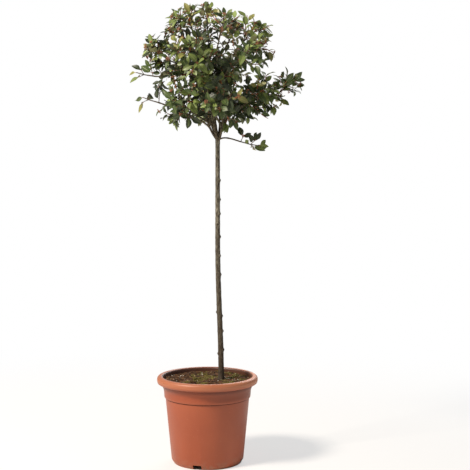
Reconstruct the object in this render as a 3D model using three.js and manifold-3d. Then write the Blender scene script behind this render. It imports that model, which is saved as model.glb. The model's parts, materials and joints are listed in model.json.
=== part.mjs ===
// A potted evergreen shrub trained as a standard: a clear stem that carries a loose round crown.
// Millimetres, +Z up. The origin is the middle of the pot's flat underside.
// Azimuth 0 is +X, the right-hand side seen from the front, and 90 is +Y, the back.
import * as THREE from "three";
import { mergeVertices } from "three/addons/utils/BufferGeometryUtils.js";
import Module from "manifold-3d";

const wasm = await Module();
wasm.setup();

const seatGap = 0.35; // between pieces that meet
const up = new THREE.Vector3(0, 0, 1);

const finishes = {
  pot: { color: 0xb5654a, roughness: 0.55, metalness: 0 },
  soil: { color: 0x4a4229, roughness: 1, metalness: 0 },
  bark: { color: 0x6f6653, roughness: 0.9, metalness: 0 },
  leaf: { color: 0x3f5a2c, roughness: 0.45, metalness: 0 },
};

const pot = {
  height: 283,
  wall: 3,
  floor: 4,
  footRadius: 110.5,
  chamferHeight: 12,
  baseRadius: 118.2,
  bodyTopRadius: 137.5,
  ledgeHeight: 214,
  ledgeDepth: 3.5,
  ledgeRise: 2,
  neckMiddleRadius: 142.4,
  neckMiddleHeight: 236,
  neckTopRadius: 147.5,
  neckTopHeight: 251,
  lipRadius: 165,
  lipInnerRadius: 145,
  lipBottom: 256,
  lipGrooveTop: 270,
  lipOuterRound: 9,
  lipInnerRound: 6,
  facets: 30,
  drains: 4,
  firstDrain: 253, // its azimuth
  drainWidth: 28,
  drainHeight: 12,
  drainDepth: 24,
};

const soil = {
  level: 269,
  sideGap: 0.5,
  rings: 4,
  lump: 2.2,
  waveLengths: [75, 88, 57], // along X, along Y and across both
  flatRadius: 34, // round the stem
  edgeFade: 20,
};

const trunk = {
  footX: 45,
  topX: 34,
  straightFrom: 708, // the height above which it no longer leans
  sway: 2.2,
  waves: 7,
  height: 798, // from the soil to the fork
  footRadius: 9.2,
  topRadius: 7.2,
  flare: 3.2,
  flareHeight: 14,
  collar: 1.6, // the swelling at the fork
  collarHeight: 15,
  sides: 8,
  steps: 15,
  knotRadius: 4,
  knotSunk: 1.5,
  knotRise: 25, // the way a knot points, above level
};

// The knots on the trunk, each with its height and azimuth
const knots = [
  [353, 172], [366, 4], [428, -16], [477, 18], [490, 186], [548, 95], [613, 0], [675, -24],
  [737, 14], [778, 260], [812, -10], [858, 22], [920, 0],
];

const crown = {
  centre: new THREE.Vector3(15, 0, 1293),
  shell: 62, // from a mass's outer reach in to its middle
  border: 0.9, // kept clear on each side of the border between two masses
  openTop: 1138, // below this height the crown is open round the trunk's line
  openRadius: 50,
  firstSeed: 101,
};

// The tiers of foliage masses, each spaced evenly round the crown. The middle of each mass lies at its own
// elevation and its outermost leaves at its reach, both seen from the crown's centre. All the stems of a
// tier climb at the tier's rise.
const tiers = {
  mid: {
    firstAzimuth: 10,
    rise: 24,
    elevations: [18, 4, 4, 9, 4, 4],
    reaches: [219, 232, 234, 234, 236, 230],
  },
  top: {
    firstAzimuth: 180,
    rise: 86,
    elevations: [84],
    reaches: [207],
  },
  low: {
    firstAzimuth: -15,
    rise: 28,
    elevations: [-28, -40, -40, -44, -40, -40],
    reaches: [262, 250, 248, 246, 252, 252],
  },
  high: {
    firstAzimuth: -10,
    rise: 50,
    elevations: [38, 46, 48, 46, 48, 46],
    reaches: [226, 214, 222, 218, 222, 214],
  },
};

// Small sprays that stand out of the round crown, each on a thin limb of its own
const sprays = [
  { name: "right_spray", parent: "bough_1", start: 0.31, middle: [258, -12, 1222], radius: 66,
    azimuth: 2, rise: 36, stem: 54, pairs: 3, twig: 34, leaf: 44, limb: [3.2, 2.4] },
  { name: "lower_spray", parent: "low_limb_1", start: 0.75, middle: [226, 8, 1188], radius: 60,
    azimuth: 8, rise: 10, stem: 56, pairs: 1, twig: 30, leaf: 46, limb: [2.4, 2.2] },
  { name: "left_spray", parent: "low_limb_4", start: 0.6, middle: [-188, 8, 1182], radius: 56,
    azimuth: 176, rise: 16, stem: 42, pairs: 1, twig: 20, leaf: 42, limb: [2.4, 2.2] },
  { name: "left_wisp", parent: "bough_4", start: 0.82, middle: [-200, -18, 1260], radius: 56,
    azimuth: 186, rise: 8, stem: 54, pairs: 1, twig: 22, leaf: 40, limb: [2.4, 2.2] },
  { name: "drooping_spray", parent: "trunk", start: 0.978, middle: [138, -4, 1038], radius: 60,
    azimuth: -4, rise: -16, stem: 60, pairs: 1, twig: 26, leaf: 44, limb: [2.4, 2.2] },
];

const limbPull = 0.36; // how firmly a limb holds to its first and last directions
const boughSizes = { baseRadius: 3.6, tipRadius: 2.6, sides: 6, steps: 6 };
const bough = { stub: 30, firstFoot: -5, footStep: -3.4, steepness: 46 };
const leader = { stub: 24, foot: -6, azimuth: 200, steepness: 80 };
const lowLimb = { baseRadius: 3, tipRadius: 2.5, sides: 5, steps: 4, start: 0.17 };
const highLimb = { baseRadius: 2.8, tipRadius: 2.5, sides: 5, steps: 5, start: 0.5 };
const sprayLimb = { sides: 5, steps: 5 };

// The rule by which every mass grows
const growth = {
  stemLength: 92,
  stemPast: 6, // how far a stem runs past its mass's middle
  stemTipRadius: 2.1,
  stemSides: 4,
  pairs: 3,
  firstPair: 0.22,
  lastPair: 0.86,
  firstAngle: 66,
  lastAngle: 44,
  twigLength: 60,
  twigShrink: 0.3, // how much shorter the last pair is than the first
  twigTries: [1, 0.75, 0.5],
  twigJitter: 0.15,
  twigRadius: 1.4,
  twigTipRadius: 1.3,
  twigSides: 3,
  turnJitter: 0.25, // radians round the stem
  upturn: 0.12,
  leafPlaces: [0.48],
  leafAngle: 58,
  endLeafPlace: 0.9,
  endLeafAngle: 34,
  leafLength: 64,
  leafJitter: 0.12,
  leafShares: [1, 0.88, 0.75], // of its full length, tried in turn until a leaf fits
  leafSwings: [0, 0.55, -0.55], // round the twig in radians, tried at each length
  faceLift: 0.9, // how much a leaf faces up rather than out
  faceJitter: 0.25,
  rootStart: 0.12, // how far a leaf's root lies from the twig's middle
  limbClearance: 4.2,
  testStep: 4, // between the points by which twigs and limbs are tested
  leafTests: 12, // rows of points by which a leaf is tested
};

// A leaf's proportions, as shares of its length but for the two thicknesses
const leafShape = {
  widest: 0.48,
  halfWidth: 0.3,
  fold: 0.08,
  droop: 0.12,
  keelAt: 0.42,
  keelThickness: 1.8,
  rootThickness: 0.8,
};

const buds = { share: 0.12, radius: 8, height: 9, sunk: 4, sides: 5 };

function seeded(seed) {
  let state = seed >>> 0;
  return () => {
    state = (state + 0x6d2b79f5) >>> 0;
    let t = state;
    t = Math.imul(t ^ (t >>> 15), t | 1);
    t ^= t + Math.imul(t ^ (t >>> 7), t | 61);
    return ((t ^ (t >>> 14)) >>> 0) / 4294967296;
  };
}

function spread(draw, amount) {
  return amount * (2 * draw() - 1);
}

function radians(degrees) {
  return THREE.MathUtils.degToRad(degrees);
}

function mix(a, b, t) {
  return THREE.MathUtils.lerp(a, b, t);
}

function heading(azimuth, elevation) {
  const a = radians(azimuth);
  const e = radians(elevation);
  return new THREE.Vector3(Math.cos(e) * Math.cos(a), Math.cos(e) * Math.sin(a), Math.sin(e));
}

function along(origin, direction, distance) {
  return origin.clone().addScaledVector(direction, distance);
}

// The direction that leaves axis at an angle in degrees, on the side given by turn in radians
function branchOff(axis, turn, angle) {
  const reference = Math.abs(axis.z) < 0.9 ? up : new THREE.Vector3(1, 0, 0);
  const side = new THREE.Vector3().crossVectors(reference, axis).normalize().applyAxisAngle(axis, turn);
  return side.multiplyScalar(Math.sin(radians(angle))).addScaledVector(axis, Math.cos(radians(angle)));
}

function solidOf(geometry) {
  const bare = geometry.clone();
  bare.deleteAttribute("normal");
  bare.deleteAttribute("uv");
  const merged = mergeVertices(bare, 1e-4);
  return new wasm.Manifold(
    new wasm.Mesh({
      numProp: 3,
      vertProperties: new Float32Array(merged.attributes.position.array),
      triVerts: new Uint32Array(merged.index.array),
    }),
  );
}

function geometryOf(solid) {
  const mesh = solid.getMesh();
  const geometry = new THREE.BufferGeometry();
  geometry.setAttribute("position", new THREE.BufferAttribute(mesh.vertProperties.slice(), 3));
  geometry.setIndex(new THREE.BufferAttribute(mesh.triVerts.slice(), 1));
  geometry.computeVertexNormals();
  return geometry;
}

// The largest outer shell of a fused solid, which drops scraps and fills sealed hollows
function joined(solids) {
  const shells = wasm.Manifold.union(solids).decompose();
  return shells.reduce((a, b) => (b.volume() > a.volume() ? b : a));
}

// A bent cylinder along a stretch of a curve, with its radius worked out at each place on the whole curve
function tube(curve, radiusAt, sides, steps, from = 0, to = 1) {
  const geometry = new THREE.CylinderGeometry(1, 1, 1, sides, steps);
  const position = geometry.attributes.position;
  const level = curve.getPointAt(1).sub(curve.getPointAt(0)).cross(up);
  if (level.length() < 1) level.set(0, 1, 0);
  for (let i = 0; i < position.count; i++) {
    const u = mix(from, to, position.getY(i) + 0.5);
    const tangent = curve.getTangentAt(u);
    const first = new THREE.Vector3().crossVectors(level, tangent).normalize();
    const second = new THREE.Vector3().crossVectors(first, tangent);
    const place = curve.getPointAt(u);
    place.addScaledVector(first, position.getX(i) * radiusAt(u));
    place.addScaledVector(second, position.getZ(i) * radiusAt(u));
    position.setXYZ(i, place.x, place.y, place.z);
  }
  return solidOf(geometry);
}

function taper(first, last) {
  return (u) => mix(first, last, u);
}

// A profile of [radius, height] points turned on the pot's axis
function lathed(profile) {
  const points = profile.map(([radius, height]) => new THREE.Vector2(radius, height));
  return new THREE.LatheGeometry(points, pot.facets).rotateX(Math.PI / 2);
}

function arc(centreX, centreY, radius, fromAngle, toAngle, steps) {
  return Array.from({ length: steps + 1 }, (_, i) => {
    const angle = radians(mix(fromAngle, toAngle, i / steps));
    return [centreX + radius * Math.cos(angle), centreY + radius * Math.sin(angle)];
  });
}

// The inner wall, from the lip down to the floor
function innerWall() {
  const { wall } = pot;
  return [
    [pot.lipInnerRadius, pot.neckTopHeight + wall],
    [pot.neckMiddleRadius - wall, pot.neckMiddleHeight],
    [pot.bodyTopRadius + pot.ledgeDepth - wall, pot.ledgeHeight + pot.ledgeRise + wall / 2],
    [pot.bodyTopRadius - wall, pot.ledgeHeight],
    [pot.baseRadius - wall, pot.chamferHeight + wall / 2],
    [pot.footRadius - wall, pot.floor],
  ];
}

function makePot() {
  const outer = pot.lipOuterRound;
  const inner = pot.lipInnerRound;
  const skirt = pot.lipRadius - pot.wall;
  const profile = [
    [0, 0],
    [pot.footRadius, 0],
    [pot.baseRadius, pot.chamferHeight],
    [pot.bodyTopRadius, pot.ledgeHeight],
    [pot.bodyTopRadius + pot.ledgeDepth, pot.ledgeHeight + pot.ledgeRise],
    [pot.neckMiddleRadius, pot.neckMiddleHeight],
    [pot.neckTopRadius, pot.neckTopHeight],
    [pot.neckTopRadius, pot.lipGrooveTop],
    [skirt, pot.lipGrooveTop],
    [skirt, pot.lipBottom],
    [pot.lipRadius, pot.lipBottom],
    ...arc(pot.lipRadius - outer, pot.height - outer, outer, 0, 90, 3),
    ...arc(pot.lipInnerRadius + inner, pot.height - inner, inner, 90, 180, 2),
    ...innerWall(),
    [0, pot.floor],
  ];
  let made = solidOf(lathed(profile));
  for (let i = 0; i < pot.drains; i++) {
    const slot = new THREE.BoxGeometry(pot.drainDepth, pot.drainWidth, 2 * pot.drainHeight);
    slot.translate(pot.baseRadius, 0, 0);
    slot.rotateZ(radians(pot.firstDrain + (360 / pot.drains) * i));
    made = made.subtract(solidOf(slot));
  }
  return made;
}

function makeSoil() {
  const wall = innerWall().filter(([, height]) => height < soil.level);
  const side = wall.map(([radius, height]) => [radius - soil.sideGap, Math.max(height, pot.floor + seatGap)]);
  const rim = side[0][0];
  const top = Array.from({ length: soil.rings + 1 }, (_, i) => [rim * (1 - i / soil.rings), soil.level]);
  const geometry = lathed([[0, pot.floor + seatGap], ...side.reverse(), ...top]);
  const position = geometry.attributes.position;
  for (let i = 0; i < position.count; i++) {
    if (position.getZ(i) < soil.level - 1) continue;
    const x = position.getX(i);
    const y = position.getY(i);
    const fromStem = Math.hypot(x - trunk.footX, y);
    const stemFade = THREE.MathUtils.smoothstep(fromStem, soil.flatRadius, 2 * soil.flatRadius);
    const edgeFade = Math.min(1, (rim - Math.hypot(x, y)) / soil.edgeFade);
    const waves = [x, y, x - y].map((way, k) => Math.sin((2 * Math.PI * way) / soil.waveLengths[k]));
    const wave = waves.reduce((a, b) => a + b);
    position.setZ(i, soil.level + soil.lump * stemFade * edgeFade * wave);
  }
  return solidOf(geometry);
}

const footHeight = soil.level + seatGap;
const forkHeight = footHeight + trunk.height;

function trunkAt(height) {
  const bend = THREE.MathUtils.smoothstep(trunk.straightFrom - height, 0, trunk.straightFrom - footHeight);
  const sway = trunk.sway * Math.sin((trunk.waves * (height - footHeight)) / trunk.height);
  return new THREE.Vector3(mix(trunk.topX, trunk.footX, bend), sway, height);
}

const trunkCurve = new THREE.CatmullRomCurve3(
  Array.from({ length: trunk.steps + 1 }, (_, i) => trunkAt(mix(footHeight, forkHeight, i / trunk.steps))),
);

function trunkRadius(u) {
  const fromFoot = u * trunk.height;
  const fromFork = trunk.height - fromFoot;
  const flare = trunk.flare * Math.exp(-fromFoot / trunk.flareHeight);
  const collar = trunk.collar * Math.exp(-((fromFork / trunk.collarHeight) ** 2));
  return mix(trunk.footRadius, trunk.topRadius, u) + flare + collar;
}

// Every limb by name: its curve, its radius along it, and the limb that bears it
const limbs = new Map();
const masses = [];

function addLimb(name, curve, parent, sizes, stub = 0) {
  const radiusAt = taper(sizes.baseRadius, sizes.tipRadius);
  limbs.set(name, { name, curve, radiusAt, parent, sides: sizes.sides, steps: sizes.steps, stub });
}

// A limb's course from start to end, which leaves and arrives in given directions
function sweep(start, startWay, end, endWay) {
  const pull = limbPull * start.distanceTo(end);
  const control = along(start, startWay, pull);
  return new THREE.CubicBezierCurve3(start, control, along(end, endWay, -pull), end);
}

function addBough(name, start, startWay, entry, grows, stub) {
  const curve = sweep(start, startWay, entry, grows);
  addLimb(name, curve, "trunk", boughSizes, stub / curve.getLength());
}

function addBranch(name, parent, place, entry, grows, sizes) {
  const bearer = limbs.get(parent).curve;
  const start = bearer.getPointAt(place);
  const startWay = entry.clone().sub(start).normalize().add(bearer.getTangentAt(place)).normalize();
  addLimb(name, sweep(start, startWay, entry, grows), parent, sizes);
}

// The stem of each mass goes on from its limb's tip, through its middle
function addMass(name, limb, mass) {
  const { curve } = limbs.get(limb);
  const start = along(curve.getPointAt(1), curve.getTangentAt(1), seatGap);
  const stem = stemCourse(start, mass.grows, mass.stemLength);
  masses.push({ name, limb, stem, seed: crown.firstSeed + masses.length, ...mass });
}

function apart(azimuthA, azimuthB) {
  return Math.abs(((azimuthA - azimuthB + 540) % 360) - 180);
}

function nearestBough(azimuth) {
  const { firstAzimuth, reaches } = tiers.mid;
  const away = reaches.map((_, i) => apart(azimuth, firstAzimuth + (360 / reaches.length) * i));
  return `bough_${away.indexOf(Math.min(...away)) + 1}`;
}

const tierLimbs = {
  mid: (i, azimuth, entry, grows) => {
    const name = `bough_${i + 1}`;
    const height = forkHeight + bough.firstFoot + bough.footStep * i;
    addBough(name, trunkAt(height), heading(azimuth, bough.steepness), entry, grows, bough.stub);
    return name;
  },
  top: (i, azimuth, entry, grows) => {
    const foot = trunkAt(forkHeight + leader.foot);
    addBough("leader", foot, heading(leader.azimuth, leader.steepness), entry, grows, leader.stub);
    return "leader";
  },
  low: (i, azimuth, entry, grows) => {
    const name = `low_limb_${i + 1}`;
    addBranch(name, nearestBough(azimuth), lowLimb.start, entry, grows, lowLimb);
    return name;
  },
  high: (i, azimuth, entry, grows) => {
    const name = `high_limb_${i + 1}`;
    addBranch(name, nearestBough(azimuth), highLimb.start, entry, grows, highLimb);
    return name;
  },
};

function planTier(tierName) {
  const { firstAzimuth, rise, elevations, reaches } = tiers[tierName];
  reaches.forEach((reach, i) => {
    const azimuth = firstAzimuth + (360 / reaches.length) * i;
    const middle = along(crown.centre, heading(azimuth, elevations[i]), reach - crown.shell);
    const grows = heading(azimuth, rise);
    const entry = along(middle, grows, growth.stemPast - growth.stemLength);
    const limb = tierLimbs[tierName](i, azimuth, entry, grows);
    const { stemLength, pairs, twigLength, leafLength } = growth;
    const sizes = { stemLength, pairs, twigLength, leafLength };
    addMass(`leaves_${tierName}_${i + 1}`, limb, { middle, grows, hub: crown.centre, reach, ...sizes });
  });
}

function planSpray(spray) {
  const { name, parent, start, pairs, radius } = spray;
  const middle = new THREE.Vector3(...spray.middle);
  const grows = heading(spray.azimuth, spray.rise);
  const entry = along(middle, grows, -spray.stem / 2);
  const limb = `${name}_limb`;
  const [baseRadius, tipRadius] = spray.limb;
  addBranch(limb, parent, start, entry, grows, { baseRadius, tipRadius, ...sprayLimb });
  const sizes = { stemLength: spray.stem, pairs, twigLength: spray.twig, leafLength: spray.leaf };
  addMass(`leaves_${name}`, limb, { middle, grows, hub: middle, reach: radius, ...sizes });
}

// The cut ends of old side shoots, which stand a little way out of the bark
function makeKnots() {
  return knots.map(([height, azimuth]) => {
    const u = (height - footHeight) / trunk.height;
    const out = heading(azimuth, trunk.knotRise);
    const { x, y, z } = along(trunkCurve.getPointAt(u), out, trunkRadius(u) - trunk.knotSunk);
    return solidOf(new THREE.OctahedronGeometry(trunk.knotRadius).translate(x, y, z));
  });
}

// The trunk carries the first stretch of each bough, so that a bough meets it face to face
function makeTrunk() {
  const pieces = [tube(trunkCurve, trunkRadius, trunk.sides, trunk.steps), ...makeKnots()];
  for (const { curve, radiusAt, sides, stub } of limbs.values())
    if (stub > 0) pieces.push(tube(curve, radiusAt, sides, 2, 0, stub));
  return joined(pieces);
}

function limbTube({ curve, radiusAt, sides, steps, stub }, extra = 0) {
  const from = stub > 0 ? stub + seatGap / curve.getLength() : 0;
  return tube(curve, (u) => radiusAt(u) + extra, sides, steps, from, 1);
}

// Any other limb is cut clear of the limb that bears it
function makeLimb(limb) {
  if (limb.stub > 0) return limbTube(limb);
  return joined([limbTube(limb).subtract(limbTube(limbs.get(limb.parent), seatGap))]);
}

// A mass's stem in two straight stretches, so that what is fused to it sits on its true middle
function stemCourse(start, way, length) {
  const bend = along(start, way, length / 2);
  const endWay = way.clone().addScaledVector(up, growth.upturn).normalize();
  const course = new THREE.CurvePath();
  course.add(new THREE.LineCurve3(start, bend));
  course.add(new THREE.LineCurve3(bend, along(bend, endWay, length / 2)));
  return course;
}

function stretchPoints(curve, radiusAt, owner) {
  const count = Math.ceil(curve.getLength() / growth.testStep);
  return Array.from({ length: count + 1 }, (_, i) => {
    return { point: curve.getPointAt(i / count), radius: radiusAt(i / count), owner };
  });
}

// The space of a mass lies inside its reach, on its own side of the border with every other mass, and
// clear of the opening above the fork
function inSpace(mass, point) {
  if (point.distanceTo(mass.hub) > mass.reach) return false;
  const fromStem = Math.hypot(point.x - trunk.topX, point.y);
  if (point.z < crown.openTop && fromStem < crown.openRadius) return false;
  const own = point.distanceToSquared(mass.middle);
  return masses.every((other) => {
    if (other === mass) return true;
    const span = 2 * mass.middle.distanceTo(other.middle);
    return (point.distanceToSquared(other.middle) - own) / span > crown.border;
  });
}

function clearOfLimbs(mass, point, thickness) {
  const needed = thickness + growth.limbClearance;
  return mass.nearby.every((limb) => point.distanceTo(limb.point) > limb.radius + needed);
}

function fitsTwig(mass, curve) {
  const points = curve.getSpacedPoints(Math.ceil(curve.getLength() / growth.testStep));
  return points.every((point) => inSpace(mass, point) && clearOfLimbs(mass, point, growth.twigRadius));
}

// A blade of eight faces, folded along its midrib, with a root that is a short upright edge
function leafCorners(root, way, face, length) {
  const side = new THREE.Vector3().crossVectors(face, way).normalize();
  const normal = new THREE.Vector3().crossVectors(way, side);
  const { widest, halfWidth, fold, droop, keelAt, keelThickness, rootThickness } = leafShape;
  const corner = (reach, across, lift) =>
    along(along(along(root, way, reach * length), side, across * length), normal, lift);
  return {
    root: corner(0, 0, -rootThickness / 2),
    rootTop: corner(0, 0, rootThickness / 2),
    left: corner(widest, halfWidth, fold * length),
    right: corner(widest, -halfWidth, fold * length),
    keel: corner(keelAt, 0, -droop * keelAt * length - keelThickness),
    tip: corner(1, 0, -droop * length),
  };
}

// The blade's corner that each of an octahedron's six corners becomes
function cornerName(x, y, z) {
  if (x !== 0) return x > 0 ? "tip" : "root";
  if (y !== 0) return y > 0 ? "left" : "right";
  return z > 0 ? "rootTop" : "keel";
}

function leafSolid(corners) {
  const blade = new THREE.OctahedronGeometry(1);
  const position = blade.attributes.position;
  for (let i = 0; i < position.count; i++) {
    const [x, y, z] = [position.getX(i), position.getY(i), position.getZ(i)].map(Math.round);
    corners[cornerName(x, y, z)].toArray(position.array, 3 * i);
  }
  return solidOf(blade);
}

// Points all over the blade but for its root, which is on the twig
function leafPoints({ root, left, right, tip }) {
  const { widest } = leafShape;
  const points = [];
  for (let i = 1; i <= growth.leafTests; i++) {
    const t = i / growth.leafTests;
    const middle = root.clone().lerp(tip, t);
    points.push(middle);
    for (const corner of [left, right]) {
      const beyond = (t - widest) / (1 - widest);
      const edge = t < widest ? root.clone().lerp(corner, t / widest) : corner.clone().lerp(tip, beyond);
      points.push(edge, edge.clone().lerp(middle, 0.5));
    }
  }
  return points;
}

// A leaf takes the first of its tries that keeps to its mass's space and crosses nothing
function addLeaf(mass, fused, draw, twig, u, turn, angle) {
  const place = twig.curve.getPointAt(u);
  const face = place.clone().sub(crown.centre).normalize().addScaledVector(up, growth.faceLift);
  face.x += spread(draw, growth.faceJitter);
  face.y += spread(draw, growth.faceJitter);
  const length = mass.leafLength * (1 + spread(draw, growth.leafJitter));
  const tries = growth.leafShares.flatMap((share) => growth.leafSwings.map((swing) => ({ share, swing })));
  for (const { share, swing } of tries) {
    const way = branchOff(twig.curve.getTangentAt(u), turn + swing, angle);
    const corners = leafCorners(along(place, way, growth.rootStart), way, face, share * length);
    const inside = Object.values(corners).every((corner) => inSpace(mass, corner));
    if (!inside || !leafPoints(corners).every((point) => clearOfLimbs(mass, point, 1))) continue;
    const solid = leafSolid(corners);
    if (fused.some((piece) => piece !== twig && !piece.solid.intersect(solid).isEmpty())) continue;
    fused.push({ solid });
    return;
  }
}

function addLeafPair(mass, fused, draw, twig, u, angle, turn) {
  addLeaf(mass, fused, draw, twig, u, turn, angle);
  addLeaf(mass, fused, draw, twig, u, turn + Math.PI, angle);
}

// A flat-topped head of flower buds at a twig's end
function addBuds(mass, fused, { curve }) {
  const way = curve.getTangentAt(1);
  const top = along(curve.getPointAt(1), way, buds.height - buds.sunk + buds.radius);
  if (!inSpace(mass, top) || !clearOfLimbs(mass, top, 0)) return;
  const head = new THREE.ConeGeometry(buds.radius, buds.height, buds.sides).rotateX(-Math.PI / 2);
  head.applyQuaternion(new THREE.Quaternion().setFromUnitVectors(up, way));
  const middle = along(curve.getPointAt(1), way, buds.height / 2 - buds.sunk);
  fused.push({ solid: solidOf(head.translate(middle.x, middle.y, middle.z)) });
}

const twigTaper = taper(growth.twigRadius, growth.twigTipRadius);

function makeTwig(mass, start, way, length) {
  const curve = growth.twigTries
    .map((share) => new THREE.LineCurve3(start, along(start, way, share * length)))
    .find((tried) => fitsTwig(mass, tried));
  return curve && { curve, solid: tube(curve, twigTaper, growth.twigSides, 1) };
}

// Side twigs in opposite pairs, each pair turned a quarter from the last, then the leaves on all of them
function growMass(mass) {
  const draw = seeded(mass.seed);
  const { stem, pairs } = mass;
  mass.nearby = obstacles.filter(({ owner }) => owner !== mass);
  const stemTaper = taper(limbs.get(mass.limb).radiusAt(1), growth.stemTipRadius);
  const twigs = [{ curve: stem, solid: tube(stem, stemTaper, growth.stemSides, 2) }];
  const firstTurn = Math.PI * draw();
  for (let pair = 0; pair < pairs; pair++) {
    const share = pairs > 1 ? pair / (pairs - 1) : 0.5;
    const u = mix(growth.firstPair, growth.lastPair, share);
    const angle = mix(growth.firstAngle, growth.lastAngle, share);
    for (const half of [0, Math.PI]) {
      const turn = firstTurn + (Math.PI / 2) * pair + half + spread(draw, growth.turnJitter);
      const way = branchOff(stem.getTangentAt(u), turn, angle);
      const shrunk = mass.twigLength * (1 - growth.twigShrink * share);
      const twig = makeTwig(mass, stem.getPointAt(u), way, shrunk * (1 + spread(draw, growth.twigJitter)));
      if (twig) twigs.push(twig);
    }
  }
  const fused = [...twigs];
  for (const twig of twigs) {
    const turn = Math.PI * draw();
    addLeafPair(mass, fused, draw, twig, growth.endLeafPlace, growth.endLeafAngle, turn);
    if (draw() < buds.share && twig.curve !== stem) addBuds(mass, fused, twig);
  }
  for (const twig of twigs.slice(1))
    for (const u of growth.leafPlaces)
      addLeafPair(mass, fused, draw, twig, u, growth.leafAngle, Math.PI * draw());
  return joined(fused.map(({ solid }) => solid));
}

const { sides, steps } = trunk;
limbs.set("trunk", { name: "trunk", curve: trunkCurve, radiusAt: trunkRadius, sides, steps, stub: 0 });
Object.keys(tiers).forEach(planTier);
sprays.forEach(planSpray);

const obstacles = [
  ...[...limbs.values()].flatMap((limb) => stretchPoints(limb.curve, limb.radiusAt, limb)),
  ...masses.flatMap((mass) => stretchPoints(mass.stem, () => growth.stemTipRadius, mass)),
];

const plant = new THREE.Group();

function addPiece(name, solid, finish) {
  const mesh = new THREE.Mesh(geometryOf(solid), new THREE.MeshStandardMaterial(finishes[finish]));
  mesh.name = name;
  plant.add(mesh);
}

addPiece("pot", makePot(), "pot");
addPiece("soil", makeSoil(), "soil");
addPiece("trunk", makeTrunk(), "bark");
for (const limb of limbs.values()) if (limb.parent) addPiece(limb.name, makeLimb(limb), "bark");
for (const mass of masses) addPiece(mass.name, growMass(mass), "leaf");

export default plant;
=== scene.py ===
# A potted evergreen shrub trained as a standard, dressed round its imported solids. Metres, Z up, front to -Y.
import json
import math
import bmesh
import bpy
import numpy as np
from mathutils import Matrix, Quaternion, Vector, kdtree, noise

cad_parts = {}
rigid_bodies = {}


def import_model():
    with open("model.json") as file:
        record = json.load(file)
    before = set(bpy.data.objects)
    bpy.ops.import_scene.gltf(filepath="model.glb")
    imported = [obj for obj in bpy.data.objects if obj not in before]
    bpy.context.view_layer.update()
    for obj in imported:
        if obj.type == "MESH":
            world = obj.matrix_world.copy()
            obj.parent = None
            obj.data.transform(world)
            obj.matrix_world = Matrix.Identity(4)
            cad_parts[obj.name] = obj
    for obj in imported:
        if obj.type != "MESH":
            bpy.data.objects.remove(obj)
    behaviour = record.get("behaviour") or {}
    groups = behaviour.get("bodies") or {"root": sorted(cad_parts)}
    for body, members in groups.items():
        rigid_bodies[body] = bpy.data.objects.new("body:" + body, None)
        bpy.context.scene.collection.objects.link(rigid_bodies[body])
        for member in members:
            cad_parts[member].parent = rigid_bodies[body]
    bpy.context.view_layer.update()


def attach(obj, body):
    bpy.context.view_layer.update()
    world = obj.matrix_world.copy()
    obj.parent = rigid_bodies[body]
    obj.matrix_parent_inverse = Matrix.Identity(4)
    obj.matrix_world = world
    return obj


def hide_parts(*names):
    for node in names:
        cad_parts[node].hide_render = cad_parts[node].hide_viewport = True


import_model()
scene = bpy.context.scene
mm = 0.001
up = Vector((0, 0, 1))


def tint(code):  # a hex colour as linear red, green, blue and alpha
    parts = [(code >> shift & 255) / 255 for shift in (16, 8, 0)]
    return tuple(c / 12.92 if c <= 0.04045 else ((c + 0.055) / 1.055) ** 2.4 for c in parts) + (1.0,)


def mix(a, b, t):
    return a + (b - a) * t


def smoothStep(x, low, high):
    t = min(1.0, max(0.0, (x - low) / (high - low)))
    return t * t * (3 - 2 * t)


def addObject(name, data):
    made = bpy.data.objects.new(name, data)
    scene.collection.objects.link(made)
    return made


def meshOf(name, bm):
    mesh = bpy.data.meshes.new(name)
    bm.to_mesh(mesh)
    bm.free()
    return mesh


# Helpers for shader nodes
def feed(tree, entry, value):  # a link from a socket, or a plain value
    if isinstance(value, bpy.types.NodeSocket):
        tree.links.new(value, entry)
    else:
        entry.default_value = value


def addMath(tree, operation, *values):
    node = tree.nodes.new("ShaderNodeMath")
    node.operation = operation
    for entry, value in zip(node.inputs, values):
        feed(tree, entry, value)
    return node.outputs[0]


def both(tree, first, second):
    return addMath(tree, "MULTIPLY", first, second)


def addRange(tree, value, low, high, fromLow=0.0, fromHigh=1.0, kind="LINEAR"):
    node = tree.nodes.new("ShaderNodeMapRange")
    node.interpolation_type = kind
    names = ("Value", "From Min", "From Max", "To Min", "To Max")
    for name, given in zip(names, (value, fromLow, fromHigh, low, high)):
        feed(tree, node.inputs[name], given)
    return node.outputs["Result"]


def rise(tree, value, span, most=1.0):  # from 0 to the most, over the span
    return addRange(tree, value, 0.0, most, *span)


def fall(tree, value, span, most=1.0):
    return addRange(tree, value, most, 0.0, *span)


def objectPlace(tree):  # X, Y and Z
    place = tree.nodes.new("ShaderNodeTexCoord")
    split = tree.nodes.new("ShaderNodeSeparateXYZ")
    tree.links.new(place.outputs["Object"], split.inputs[0])
    return split.outputs["X"], split.outputs["Y"], split.outputs["Z"]


def fromAxis(tree, x, y):
    level = tree.nodes.new("ShaderNodeCombineXYZ")
    away = tree.nodes.new("ShaderNodeVectorMath")
    away.operation = "LENGTH"
    tree.links.new(x, level.inputs["X"])
    tree.links.new(y, level.inputs["Y"])
    tree.links.new(level.outputs[0], away.inputs[0])
    return away.outputs["Value"]


def newFinish(name, colour, roughness, specular=0.5):
    finish = bpy.data.materials.new(name)
    finish.use_nodes = True
    shader = finish.node_tree.nodes["Principled BSDF"]
    shader.inputs["Base Color"].default_value = tint(colour)
    shader.inputs["Roughness"].default_value = roughness
    shader.inputs["Specular IOR Level"].default_value = specular
    return finish


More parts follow.
